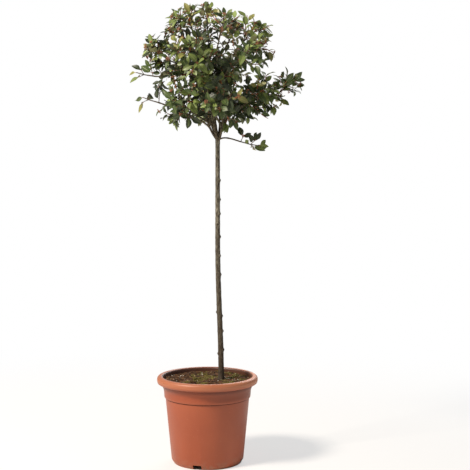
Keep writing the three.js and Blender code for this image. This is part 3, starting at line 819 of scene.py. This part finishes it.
def addMass(name, limb, mass):
    course = limbs[limb]["course"]
    start = course.at(1) + course.way(1) * seatGap
    bend = start + mass["grows"] * mass["stemLength"] / 2
    endWay = (mass["grows"] + up * growth["upturn"]).normalized()
    stem = Course([start, bend, bend + endWay * mass["stemLength"] / 2])
    seed = crown["firstSeed"] + len(masses)
    masses.append({"name": name, "limb": limb, "stem": stem, "seed": seed, **mass})


def nearestBough(azimuth):
    first, count = tiers["mid"]["firstAzimuth"], len(tiers["mid"]["reaches"])
    away = [abs((azimuth - first - 360 / count * i + 540) % 360 - 180) for i in range(count)]
    return f"bough_{away.index(min(away)) + 1}"


def tierLimb(tier, i, azimuth, entry, grows):
    if tier == "mid":
        name = f"bough_{i + 1}"
        foot = trunkAt(forkHeight + bough["firstFoot"] + bough["footStep"] * i)
        addLimb(name, sweep(foot, heading(azimuth, bough["steepness"]), entry, grows), boughSizes)
        return name
    if tier == "top":
        foot = trunkAt(forkHeight + leader["foot"])
        startWay = heading(leader["azimuth"], leader["steepness"])
        addLimb("leader", sweep(foot, startWay, entry, grows), boughSizes)
        return "leader"
    kind = lowLimb if tier == "low" else highLimb
    name = f"{tier}_limb_{i + 1}"
    addBranch(name, nearestBough(azimuth), kind["start"], entry, grows, kind["sizes"])
    return name


def planTier(name):
    tier = tiers[name]
    for i, (elevation, reach) in enumerate(zip(tier["elevations"], tier["reaches"])):
        azimuth = tier["firstAzimuth"] + 360 / len(tier["reaches"]) * i
        middle = crown["centre"] + heading(azimuth, elevation) * (reach - crown["shell"])
        grows = heading(azimuth, tier["rise"])
        entry = middle + grows * (growth["stemPast"] - growth["stemLength"])
        limb = tierLimb(name, i, azimuth, entry, grows)
        addMass(f"leaves_{name}_{i + 1}", limb, {
            "middle": middle, "grows": grows, "hub": crown["centre"], "reach": reach,
            "stemLength": growth["stemLength"], "pairs": growth["pairs"], "twigLength": growth["twigLength"],
            "fullness": tier["fullness"][i], "lift": tier["lift"]})


def planSpray(name):
    spray = {**sprayDefaults, **sprays[name]}
    middle = Vector(spray["middle"])
    grows = heading(spray["azimuth"], spray["rise"])
    limb = name + "_limb"
    entry = middle - grows * spray["stem"] / 2
    addBranch(limb, spray["parent"], spray["start"], entry, grows, spray["limb"])
    addMass("leaves_" + name, limb, {
        "middle": middle, "grows": grows, "hub": middle, "reach": spray["radius"],
        "stemLength": spray["stem"], "pairs": spray["pairs"], "twigLength": spray["twig"],
        "fullness": spray["fullness"], "lift": spray["lift"], "sparse": spray["sparse"]})


for tierName in tiers:
    planTier(tierName)
for sprayName in sprays:
    planSpray(sprayName)
middles = np.array([mass["middle"][:] for mass in masses])
print("plant planned:", len(limbs), "limbs,", len(masses), "masses")


def tubeTemplate(sides, rings):  # a closed tube of radius 1 from 0 to 1 along Z
    bm = bmesh.new()
    bmesh.ops.create_cone(bm, cap_ends=True, segments=sides, radius1=1, radius2=1, depth=1)
    bmesh.ops.translate(bm, verts=bm.verts, vec=(0, 0, 0.5))
    if rings > 1:
        lengthwise = [e for e in bm.edges if abs(e.verts[0].co.z - e.verts[1].co.z) > 0.5]
        bmesh.ops.subdivide_edges(bm, edges=lengthwise, cuts=rings - 1, use_grid_fill=True)
    return arraysOf(bm)


def bent(template, course, radiusAt, relief=None):  # the tube laid along a course, in millimetres
    points = template["points"]
    levels, which = np.unique(np.round(points[:, 2], 5), return_inverse=True)
    across = (course.at(1) - course.at(0)).cross(up)
    if across.length < 1:
        across = Vector((0, 1, 0))
    rows = []
    for u in levels:
        way = course.way(u)
        first = across.cross(way).normalized()
        rows.append((*course.at(u), *first, *way.cross(first), radiusAt(u)))
    rows = np.array(rows)[which]
    place, first, second, radius = rows[:, :3], rows[:, 3:6], rows[:, 6:9], rows[:, 9]
    if relief:
        angle = np.arctan2(points[:, 1], points[:, 0])
        rim = np.hypot(points[:, 0], points[:, 1]) > 0.5
        extra = [relief(a, u * course.length) for a, u in zip(angle, points[:, 2])]
        radius = radius + np.where(rim, extra, 0)
    radius = radius[:, None]
    return place + first * (points[:, :1] * radius) + second * (points[:, 1:2] * radius)


# Trunk and limbs, with the relief of their bark
bark = {
    "trunkSides": 44, "trunkRings": 420, "limbSides": 14, "limbRings": 64,
    "swell": 0.45, "swellLength": 22, "swellAround": 0.8,
    "furrow": 0.22, "furrowLength": 7, "furrowAround": 5,
    "firstNode": 0.4, "nodeEvery": 44, "nodeLift": 1.15, "nodeLength": 3.4, "nodeLeast": 0.15,
    "knotLift": 3.4, "knotWidth": 4.2, "knotPit": 1.0, "knotPitWidth": 1.3, "knotRise": 1.2, "knotReach": 14,
    "knotArm": 6.5,  # the radius at which a knot's width round the trunk is measured
    "rootLift": 1.6, "rootLobes": 5, "rootTurn": 0.6, "rootHeight": 10, "domeHeight": 7, "domeLeast": 0.05,
    "boughFlare": 0.35, "limbFlare": 0.2, "flareLength": 16, "limbRelief": 0.45,
    "trunkSeed": 3.7, "limbSeed": 1.37, "limbShift": 13,  # limbs differ by seed and by shift along
}


def barkRelief(angle, along, seed, size):
    x, y = math.cos(angle), math.sin(angle)
    wide, close = bark["swellAround"], bark["furrowAround"]
    broad = noise.noise(Vector((x * wide + seed, y * wide, along / bark["swellLength"])))
    fine = noise.noise(Vector((x * close + seed, y * close, along / bark["furrowLength"])))
    joint = along / bark["nodeEvery"] + bark["firstNode"]
    fromJoint = (joint - round(joint)) * bark["nodeEvery"]
    sides = math.cos(2 * (angle + math.pi / 2 * (round(joint) % 2) + seed))
    node = math.exp(-((fromJoint / bark["nodeLength"]) ** 2)) * max(bark["nodeLeast"], sides)
    return size * (bark["swell"] * broad + bark["furrow"] * fine + bark["nodeLift"] * node)


def makeTrunk():
    places = [(height - footHeight, math.radians(azimuth)) for height, azimuth in knots]
    dome = bark["domeHeight"]

    def radiusAt(u):
        fromTop = (1 - u) * trunk["height"]
        closing = math.sqrt(max(0, 1 - (1 - fromTop / dome) ** 2)) if fromTop < dome else 1
        return trunkRadius(u) * max(bark["domeLeast"], closing)

    def relief(angle, along):
        lift = barkRelief(angle, along, bark["trunkSeed"], 1.0)
        lobes = math.cos(bark["rootLobes"] * angle + bark["rootTurn"])
        lift += bark["rootLift"] * math.exp(-along / bark["rootHeight"]) * lobes
        fromTop = trunk["height"] - along
        for height, turn in places:
            if abs(along - height) < bark["knotReach"]:
                around = (angle - turn + math.pi) % math.tau - math.pi
                away = math.hypot(along - height - bark["knotRise"], around * bark["knotArm"])
                lift += bark["knotLift"] * math.exp(-((away / bark["knotWidth"]) ** 2))
                lift -= bark["knotPit"] * math.exp(-((away / bark["knotPitWidth"]) ** 2))
        return lift * smoothStep(fromTop, 0, dome)

    template = tubeTemplate(bark["trunkSides"], bark["trunkRings"])
    heap = Heap()
    heap.put(template, bent(template, trunkCourse, radiusAt, relief) * mm)
    addPiece("trunk_bark", heap.mesh("trunk_bark"), [trunkBark], "bark", "trunk", sharp=70)


def makeLimbs():
    template = tubeTemplate(bark["limbSides"], bark["limbRings"])
    heap = Heap()
    names = [name for name in limbs if name != "trunk"]
    for order, name in enumerate(names):
        course, plain = limbs[name]["course"], limbs[name]["radiusAt"]
        flare = bark["boughFlare"] if name.startswith(("bough", "leader")) else bark["limbFlare"]

        def radiusAt(u):
            return plain(u) * (1 + flare * math.exp(-u * course.length / bark["flareLength"]))

        def relief(angle, along):
            shifted = along + bark["limbShift"] * order
            return barkRelief(angle, shifted, order * bark["limbSeed"], bark["limbRelief"])

        heap.put(template, bent(template, course, radiusAt, relief) * mm)
    addPiece("limb_bark", heap.mesh("limb_bark"), [limbBark], "bark", *names, sharp=70)


makeTrunk()
makeLimbs()
print("trunk and limbs made")


# Shoots, leaves and buds
leaf = {
    "length": 32, "jitter": 0.26, "halfWidth": 0.29, "thickness": 0.009,
    "rib": 0.045, "ribBand": 0.3, "ribFaces": 0.004, "waves": (9, 1.5),
    "outline": [(0, 0), (0.13, 0.56), (0.36, 0.97), (0.6, 0.93), (0.83, 0.53), (1, 0)],
    "across": [-1, -0.55, -0.2, 0.2, 0.55, 1],
    "shapes": [  # fold, droop, wave and bow of each
        (0.3, 0.2, 0.012, 0.1), (0.42, 0.28, 0.016, 0.06), (0.2, 0.16, 0.02, 0.16),
        (0.5, 0.34, 0.01, 0.02), (0.28, 0.0, 0.014, 0.1), (0.36, 0.42, 0.02, 0.08),
    ],
    "petiole": 6, "petioleRadius": 0.95, "petioleTaper": 0.8, "petioleBend": (2, 0.6),
    "nodeAngle": 54, "rollJitter": 0.35, "faceSwing": 2, "liftJitter": 0.3,
    "shares": [1, 0.85, 0.7], "sunward": (-0.3, -0.7, 0.1), "clearance": 1.0,
    "innerSize": 0.84, "sizeSpan": (0.45, 0.95),  # smaller in the crown's middle than outside
}
shootRule = {
    "radius": 1.5, "tipRadius": 1.1, "sag": 0.04, "tries": [1, 0.65, 0.4], "clearance": 2,
    "nodeEvery": 11, "lastNode": 0.94, "leafSizes": (1.04, 0.78), "loneSize": 0.9, "endFold": 14,
    "budShare": 0.6, "freshTips": 0.4, "tipAngle": 16, "tipSize": 0.36,
    "tipLength": 24, "tipUp": 0.15, "tipSway": 0.12, "tipJitter": 0.2,
    "sideLength": 29, "sideLeast": 0.5, "sideAngle": 48, "sideJitter": 0.25, "sidePlaces": [0.34, 0.72],
    "sideLoss": (0.85, 0.35), "leafPlaces": [0.16, 0.54, 0.9], "leafGain": 0.15,
}
innerShoots = {
    "seed": 977, "reach": 205, "lift": 0.1, "from": 1120, "every": 30, "share": 0.8,
    "angle": 58, "turnJitter": 0.4, "length": 34, "lengthJitter": 0.3,
}
openSpray = {"stemPlace": 0.2, "twigPlace": 0.5, "turnShare": 0.2, "endAngle": 34, "endSize": 1.1,
             "budShare": 0.6}
budHead = {
    "buds": 17, "radius": 7.5, "turn": 2.39996, "height": 8.5, "heightJitter": 0.8, "dome": 0.28,
    "size": 2.9, "sizeJitter": 0.6, "stalkEvery": 3, "stalk": (0.5, 0.35), "spaceHeight": 12, "skyHeight": 10,
    "ball": (1, 1.25, 0.1, 2),  # detail, squash, roughness and seed of a bud
}
leafAgeAndShade = {  # how pale a shoot's leaves are, by its share of the crown's radius, its height and its side: partly paler young leaves at the outside, partly painted shade, darker in the crown's middle and low down and paler where lit, up top and to the right
    "outward": 0.52, "mostOut": 1.05, "upward": 0.44, "lowest": 1093, "height": 410, "rightward": 0.0003,
    "start": -0.06, "jitter": 0.4,
    "limits": {"deep": 0.32, "dark": 0.58, "mid": 0.84, "olive": 0.98},
}
leafTints = {  # top, rib, underside
    "deep": (0x2e3822, 0x5a6440, 0x666e52),
    "dark": (0x43532c, 0x737b4a, 0x7c8160),
    "mid": (0x64743b, 0x939a5a, 0x93966d),
    "olive": (0x7d7d45, 0xa29c62, 0x9e9a74),
    "fresh": (0x8a9d5c, 0xb2bb7c, 0xa8ae80),
}


def leafTemplate(fold, droop, wave, bow):  # a leaf of length 1 along X, its top, its rib and its underside
    rows = len(leaf["outline"]) - 1
    columns = len(leaf["across"]) - 1
    lengthwise, sideways = leaf["waves"]
    bm = bmesh.new()
    bmesh.ops.create_grid(bm, x_segments=rows, y_segments=columns, size=1)
    for v in bm.verts:
        along, width = leaf["outline"][round((v.co.x + 1) / 2 * rows)]
        across = leaf["across"][round((v.co.y + 1) / 2 * columns)]
        if abs(across) < leaf["ribBand"]:
            across = math.copysign(leaf["rib"], across) / max(width, leaf["ribBand"])
        half = leaf["halfWidth"] * width
        side = across * half
        lift = fold * abs(side) - bow * across * across * half
        lift += wave * math.sin(lengthwise * along + sideways * across) * abs(across) * width
        v.co = (along, side, lift - droop * along ** 2)
    for f in bm.faces:
        f.material_index = 1 if abs(f.calc_center_median().y) < leaf["ribFaces"] else 0
    bmesh.ops.remove_doubles(bm, verts=bm.verts, dist=1e-5)
    copy = bmesh.ops.duplicate(bm, geom=bm.verts[:] + bm.edges[:] + bm.faces[:])
    lower = [g for g in copy["geom"] if isinstance(g, bmesh.types.BMVert)]
    for v in lower:
        if not v.is_boundary:
            v.co.z -= leaf["thickness"]
    below = [g for g in copy["geom"] if isinstance(g, bmesh.types.BMFace)]
    for f in below:
        f.material_index = 2
    bmesh.ops.reverse_faces(bm, faces=below)
    bmesh.ops.remove_doubles(bm, verts=bm.verts, dist=1e-5)
    return arraysOf(bm)


leafShapes = [leafTemplate(*shape) for shape in leaf["shapes"]]
thinTube = tubeTemplate(sides=6, rings=4)
stalkTube = tubeTemplate(sides=4, rings=2)
budBall = ballTemplate(*budHead["ball"])


def addObstacles(course, radiusAt, owner):
    count = math.ceil(course.length / growth["testStep"])
    for step in range(count + 1):
        obstaclePoints.append((course.at(step / count), radiusAt(step / count), owner))


obstaclePoints = []
for limbName, limbPlan in limbs.items():
    addObstacles(limbPlan["course"], limbPlan["radiusAt"], limbName)
for mass in masses:
    addObstacles(mass["stem"], lambda u: growth["stemTipRadius"], mass["name"])
obstacleTree = kdtree.KDTree(len(obstaclePoints))
for index, obstacle in enumerate(obstaclePoints):
    obstacleTree.insert(obstacle[0], index)
obstacleTree.balance()


def inSpace(mass, point):
    if (point - mass["hub"]).length > mass["reach"]:
        return False
    if mass.get("free"):
        return True
    aside = abs(point.x - trunk["topX"])
    if point.z < crown["openTop"] and math.hypot(aside, point.y) < crown["openRadius"]:
        return False
    arch = crown["archSlope"] * math.hypot(aside, crown["archDepth"] * point.y)
    if aside < crown["openRadius"] and point.z < crown["archTop"] - arch:
        return False
    if "own" not in mass:
        return True
    gaps = ((middles - point[:]) ** 2).sum(axis=1)
    past = (gaps - gaps[mass["own"]]) / mass["spans"]
    return bool((np.delete(past, mass["own"]) > crown["border"]).all())


skyGaps = [  # where the crown is open from front to back: x, height and radius at the stem
    (-150, 1188, 20), (-158, 1168, 12), (-82, 1112, 13), (-42, 1104, 11), (256, 1190, 11), (-149, 1133, 10),
    (-147, 1414, 9), (209, 1358, 12), (196, 1276, 11), (134, 1472, 18), (-217, 1204, 12), (309, 1250, 8),
]
viewPoint = Vector(studio["cameraPlace"]) / mm


def inSky(point):  # whether the camera sees the point in one of the gaps
    sight = viewPoint.y / (viewPoint.y - point.y)
    x = mix(viewPoint.x, point.x, sight)
    z = mix(viewPoint.z, point.z, sight)
    return any(math.hypot(x - gapX, z - gapZ) < radius for gapX, gapZ, radius in skyGaps)


def clearOf(point, thickness, owner):  # whether it keeps clear of every limb and stem but the owner
    for _, index, away in obstacleTree.find_range(point, thickness + growth["testMargin"]):
        _, radius, limbOwner = obstaclePoints[index]
        if limbOwner != owner and away < radius + thickness:
            return False
    return True


for index, mass in enumerate(masses):
    mass["own"] = index
    spans = 2 * np.linalg.norm(middles - middles[index], axis=1)
    spans[index] = 1
    mass["spans"] = spans

heaps = {name: Heap() for name in ["woody", "young", "stalks", "buds", *leafTints]}
counts = {"leaves": 0, "shoots": 0, "buds": 0}


def layTube(heap, template, course, first, last):
    heap.put(template, bent(template, course, lambda u: mix(first, last, u)) * mm)


def growLeaf(mass, draw, place, way, axis, size, kind):
    way = (way + up * (mass["lift"] + spread(draw, leaf["liftJitter"]))).normalized()
    face = (place - crown["centre"]).normalized() + up * growth["faceLift"] + Vector(leaf["sunward"])
    face += levelSpread(draw, growth["faceJitter"]) * leaf["faceSwing"]
    out = smoothStep((place - crown["centre"]).length / crown["outerRadius"], *leaf["sizeSpan"])
    whole = size * (1 + spread(draw, leaf["jitter"])) * mix(leaf["innerSize"], 1, out)
    side = face.cross(way).normalized()
    normal = way.cross(side)
    shape = leafShapes[int(draw() * len(leafShapes))]
    roll = spread(draw, leaf["rollJitter"])
    for share in leaf["shares"]:
        length = leaf["length"] * whole * share
        foot = place + way * leaf["petiole"] * whole * share
        half = side * leaf["halfWidth"] * length
        middle, tip = foot + way * length * 0.5, foot + way * length
        inside = all(inSpace(mass, p) for p in (tip, middle + half, middle - half))
        if inside and all(clearOf(p, leaf["clearance"], None) and not inSky(p) for p in (middle, tip)):
            break
    else:
        return
    side.rotate(Quaternion(way, roll))
    normal.rotate(Quaternion(way, roll))
    points = shape["points"] * length
    placed = np.array(foot) + points @ np.array([way, side, normal])
    heaps[kind].put(shape, placed * mm)
    thick = leaf["petioleRadius"]
    leafward, onward = leaf["petioleBend"]
    bend = place + way * leafward + axis * onward
    layTube(heaps["stalks"], stalkTube, Course([place, bend, foot]), thick, thick * leaf["petioleTaper"])
    counts["leaves"] += 1


def growPair(mass, draw, course, u, turn, kind, angle=leaf["nodeAngle"], size=1.0):
    axis = course.way(u)
    for half in (0, math.pi):
        growLeaf(mass, draw, course.at(u), branchOff(axis, turn + half, angle), axis, size, kind)


def growBuds(mass, draw, place, way):  # a flat head of small flower buds
    if not inSpace(mass, place + way * budHead["spaceHeight"]) or inSky(place + way * budHead["skyHeight"]):
        return
    counts["buds"] += 1
    for i in range(budHead["buds"]):
        reach = budHead["radius"] * math.sqrt((i + 0.5) / budHead["buds"])
        side = branchOff(way, i * budHead["turn"] + draw(), 90)
        height = budHead["height"] - reach * budHead["dome"] + spread(draw, budHead["heightJitter"])
        top = place + way * height + side * reach
        size = budHead["size"] + spread(draw, budHead["sizeJitter"])
        heaps["buds"].put(budBall, (budBall["points"] * size + np.array(top)) * mm)
        if i % budHead["stalkEvery"] == 0:
            stalk = Course([place, place.lerp(top, 0.5) + way, top])
            layTube(heaps["stalks"], stalkTube, stalk, *budHead["stalk"])


# picks a leaf tint by place: paler young leaves outside, and painted shade, darker deep and low in the crown
# and paler up top and to the right, with a random spread
def shootKind(draw, place):
    out = min(leafAgeAndShade["mostOut"], (place - crown["centre"]).length / crown["outerRadius"])
    level = leafAgeAndShade["outward"] * out + leafAgeAndShade["upward"] * (place.z - leafAgeAndShade["lowest"]) / leafAgeAndShade["height"]
    level += leafAgeAndShade["rightward"] * (place.x - crown["centre"].x) + leafAgeAndShade["start"]
    level += spread(draw, leafAgeAndShade["jitter"])
    return next((kind for kind, limit in leafAgeAndShade["limits"].items() if level < limit), "fresh")


def growShoot(mass, draw, start, way, length, buds=True):
    rule = shootRule
    for share in rule["tries"]:
        end = start + way * length * share
        bend = start + way * length * share * 0.5 - up * spread(draw, rule["sag"]) * length
        if inSpace(mass, end) and clearOf(end, rule["clearance"], None) and not inSky(end):
            break
    else:
        return
    counts["shoots"] += 1
    kind = shootKind(draw, end)
    course = Course([start, bend, end])
    # shoots whose leaves get the paler tints take the young shoots' colour
    heap = heaps["young" if kind in ("mid", "olive", "fresh") else "woody"]
    layTube(heap, thinTube, course, rule["radius"], rule["tipRadius"])
    turn = math.pi * draw()
    nodes = max(1, round(length * share / rule["nodeEvery"]))
    for i in range(nodes):
        u = (i + 1) / nodes * rule["lastNode"]
        size = mix(*rule["leafSizes"], i / (nodes - 1)) if nodes > 1 else rule["loneSize"]
        angle = leaf["nodeAngle"] - rule["endFold"] * (i == nodes - 1)
        growPair(mass, draw, course, u, turn + math.pi / 2 * i, kind, angle, size)
    if buds and draw() < rule["budShare"]:
        growBuds(mass, draw, end, course.way(1))
    else:
        young = "fresh" if draw() < rule["freshTips"] else kind
        turn += math.pi / 2 * nodes
        growPair(mass, draw, course, 1, turn, young, rule["tipAngle"], rule["tipSize"])


def planTwigs(mass, draw):  # the side twigs of a stem that find room, as in the solids
    stem, pairs, steps = mass["stem"], mass["pairs"], growth["twigSteps"]
    twigs = []
    firstTurn = math.pi * draw()
    for pair in range(pairs):
        share = pair / (pairs - 1) if pairs > 1 else 0.5
        u = mix(growth["firstPair"], growth["lastPair"], share)
        angle = mix(growth["firstAngle"], growth["lastAngle"], share)
        for half in (0, math.pi):
            turn = firstTurn + math.pi / 2 * pair + half + spread(draw, growth["turnJitter"])
            way = branchOff(stem.way(u), turn, angle)
            shrunk = mass["twigLength"] * (1 - growth["twigShrink"] * share)
            length = shrunk * (1 + spread(draw, growth["twigJitter"]))
            start = stem.at(u)
            room = growth["twigRadius"] + growth["twigMargin"]
            for part in growth["twigTries"]:
                tested = [start + way * length * part * k / steps for k in range(steps + 1)]
                if all(inSpace(mass, p) and clearOf(p, room, mass["name"]) for p in tested):
                    twigs.append(Course([start, tested[steps // 2], tested[steps]]))
                    break
    return twigs


def growOpen(mass, draw, axis, turn, onStem):  # the few leaves of a small spray
    kind = shootKind(draw, axis.at(1))
    place = openSpray["stemPlace" if onStem else "twigPlace"]
    turn *= openSpray["turnShare"]
    if draw() > mass["sparse"]:
        growPair(mass, draw, axis, place, turn, kind)
    growPair(mass, draw, axis, 1, turn, kind, openSpray["endAngle"], openSpray["endSize"])
    if mass["pairs"] > 1 and draw() < openSpray["budShare"]:
        growBuds(mass, draw, axis.at(1), axis.way(1))


def growSides(mass, draw, axis, turn):  # leafy side shoots of a twig
    rule = shootRule
    most, less = rule["sideLoss"]
    reach = rule["sideLength"] * mix(rule["sideLeast"], 1, mass["twigLength"] / growth["twigLength"])
    for k, u in enumerate(rule["sidePlaces"]):
        for half in (0, math.pi):
            if draw() < mass["fullness"] * (most - less * k):
                way = branchOff(axis.way(u), turn + math.pi / 2 * k + half, rule["sideAngle"])
                length = reach * (1 + spread(draw, rule["sideJitter"]))
                growShoot(mass, draw, axis.at(u), way, length)


def growMass(mass):
    rule, stem = shootRule, mass["stem"]
    draw = seeded(mass["seed"])
    twigs = planTwigs(mass, draw)
    firstRadius = limbs[mass["limb"]]["radiusAt"](1)
    places = [stem.at(0) - stem.way(0), stem.at(0.5), stem.at(1)]
    layTube(heaps["woody"], thinTube, Course(places), firstRadius, growth["stemEndRadius"])
    for twig in twigs:
        layTube(heaps["woody"], thinTube, twig, *growth["twigRadii"])
    for axis in [stem, *twigs]:
        turn = math.pi * draw()
        if mass["fullness"] == 0:
            growOpen(mass, draw, axis, turn, axis is stem)
            continue
        if axis is not stem:
            growSides(mass, draw, axis, turn)
        for k, u in enumerate(rule["leafPlaces"]):
            if draw() < mass["fullness"] + rule["leafGain"]:
                kind = shootKind(draw, axis.at(u))
                growPair(mass, draw, axis, u, turn + math.pi / 2 * (k + 0.5), kind)
        sway = levelSpread(draw, rule["tipSway"])
        tipWay = (axis.way(1) + up * rule["tipUp"] + sway).normalized()
        length = rule["tipLength"] * (1 + spread(draw, rule["tipJitter"]))
        growShoot(mass, draw, axis.at(1), tipWay, length)


def growInner():  # leafy side shoots on the limbs inside the crown
    rule = innerShoots
    space = {"hub": crown["centre"], "reach": rule["reach"], "lift": rule["lift"]}
    draw = seeded(rule["seed"])
    for name, limb in limbs.items():
        if name == "trunk" or name.startswith("drooping"):
            continue
        course = limb["course"]
        count = int(course.length / rule["every"])
        for i in range(1, count):
            u = i / count
            place = course.at(u)
            if place.z < rule["from"]:
                continue
            turn = math.pi / 2 * i + spread(draw, rule["turnJitter"])
            for half in (0, math.pi):
                way = branchOff(course.way(u), turn + half, rule["angle"])
                if draw() < rule["share"]:
                    length = rule["length"] * (1 + spread(draw, rule["lengthJitter"]))
                    growShoot(space, draw, place, way, length, buds=False)


accents = [  # single shoots that show in the outline: bearer, share, azimuth, elevation, length, leaf lift
    ("low_limb_1", 0.5, -10, -62, 24, -0.7),
    ("leaves_low_4", 0.6, 190, -74, 42, -0.8),
    ("left_spray_limb", 0.78, 190, -44, 24, -0.6),
    ("left_spray_limb", 0.93, 60, 80, 52, 0.6),
    ("left_spray_limb", 0.45, 200, -64, 30, -0.7),
    ("left_wisp_limb", 1.0, 150, 72, 30, 0.2),
    ("right_spray_limb", 0.82, -20, 66, 34, 0.2),
    ("right_spray_limb", 0.97, 30, 50, 30, 0.2),
    ("right_spray_limb", 0.62, -40, -30, 24, -0.3),
    ("leaves_right_spray", 1.0, 0, -24, 16, -0.3),
    ("lower_spray_limb", 0.5, -30, -50, 24, -0.5),
    ("lower_spray_limb", 0.9, -30, -56, 22, -0.6),
    ("drooping_spray_limb", 1.0, 20, 66, 16, 0.2),
    ("leaves_high_1", 1.0, -5, 10, 46, 0.0),
    ("leaves_high_1", 0.7, -20, -24, 44, 0.0),
    ("leaves_mid_1", 1.0, -10, 48, 48, 0.1),
    ("leaves_mid_4", 1.0, 176, 68, 50, 0.1),
    ("leaves_mid_4", 0.7, 190, 60, 52, 0.1),
    ("leaves_high_5", 1.0, 60, 66, 38, 0.2),
    ("leaves_high_4", 1.0, 176, 40, 26, 0.2),
    ("leaves_high_4", 0.9, 178, -8, 42, 0.0),
    ("leaves_right_spray", 0.15, 170, 78, 38, 0.2),
    ("leaves_high_5", 0.95, 30, 78, 44, 0.3),
    ("leaves_mid_4", 0.85, 200, -55, 34, -0.3),
    ("low_limb_1", 0.25, 200, -70, 20, -0.6),
    ("leaves_top_1", 0.3, -60, 15, 34, 0.2),
    ("leaves_mid_1", 0.95, -6, -20, 30, -0.1),
    ("lower_spray_limb", 1.0, -20, -45, 26, -0.5),
    ("leaves_high_2", 1.0, 50, 70, 40, 0.2),
]
accentSpace = {"hub": crown["centre"], "reach": 345, "free": True}
accentSeed = 311


def growAccents():
    stems = {mass["name"]: mass["stem"] for mass in masses}
    draw = seeded(accentSeed)
    for bearer, share, azimuth, elevation, length, lift in accents:
        course = limbs[bearer]["course"] if bearer in limbs else stems[bearer]
        space = {**accentSpace, "lift": lift}
        growShoot(space, draw, course.at(share), heading(azimuth, elevation), length)


for mass in masses:
    growMass(mass)
growInner()
growAccents()
print("foliage grown:", counts)

twigFinishes = {
    "woody": limbBark,
    "young": makeMottled("youngShoot", 0x703a26, 0xa25c3c, 45, 0.6),
    "stalks": makeMottled("leafStalk", 0x7c4229, 0xa2643e, 30, 0.6),
    "buds": makeMottled("flowerBud", 0x80503a, 0xaa7a60, 160, 0.6),
}
twigPieces = {"woody": "woody_twigs", "young": "young_shoots", "stalks": "leaf_stalks", "buds": "flower_buds"}
massNames = [mass["name"] for mass in masses]
for name, finish in twigFinishes.items():
    addPiece(twigPieces[name], heaps[name].mesh(name), [finish], "foliage",
             *(massNames if name == "woody" else ()), sharp=60)
for name, (top, rib, under) in leafTints.items():
    finishes = [
        newFinish(name + "LeafTop", top, 0.4, 0.34),
        newFinish(name + "LeafRib", rib, 0.4, 0.5),
        newFinish(name + "LeafUnder", under, 0.6, 0.35),
    ]
    addPiece(name + "_leaves", heaps[name].mesh(name), finishes, "foliage", *massNames, sharp=70)
    print(name, "leaves:", len(bpy.data.objects[name + "_leaves"].data.polygons), "faces")
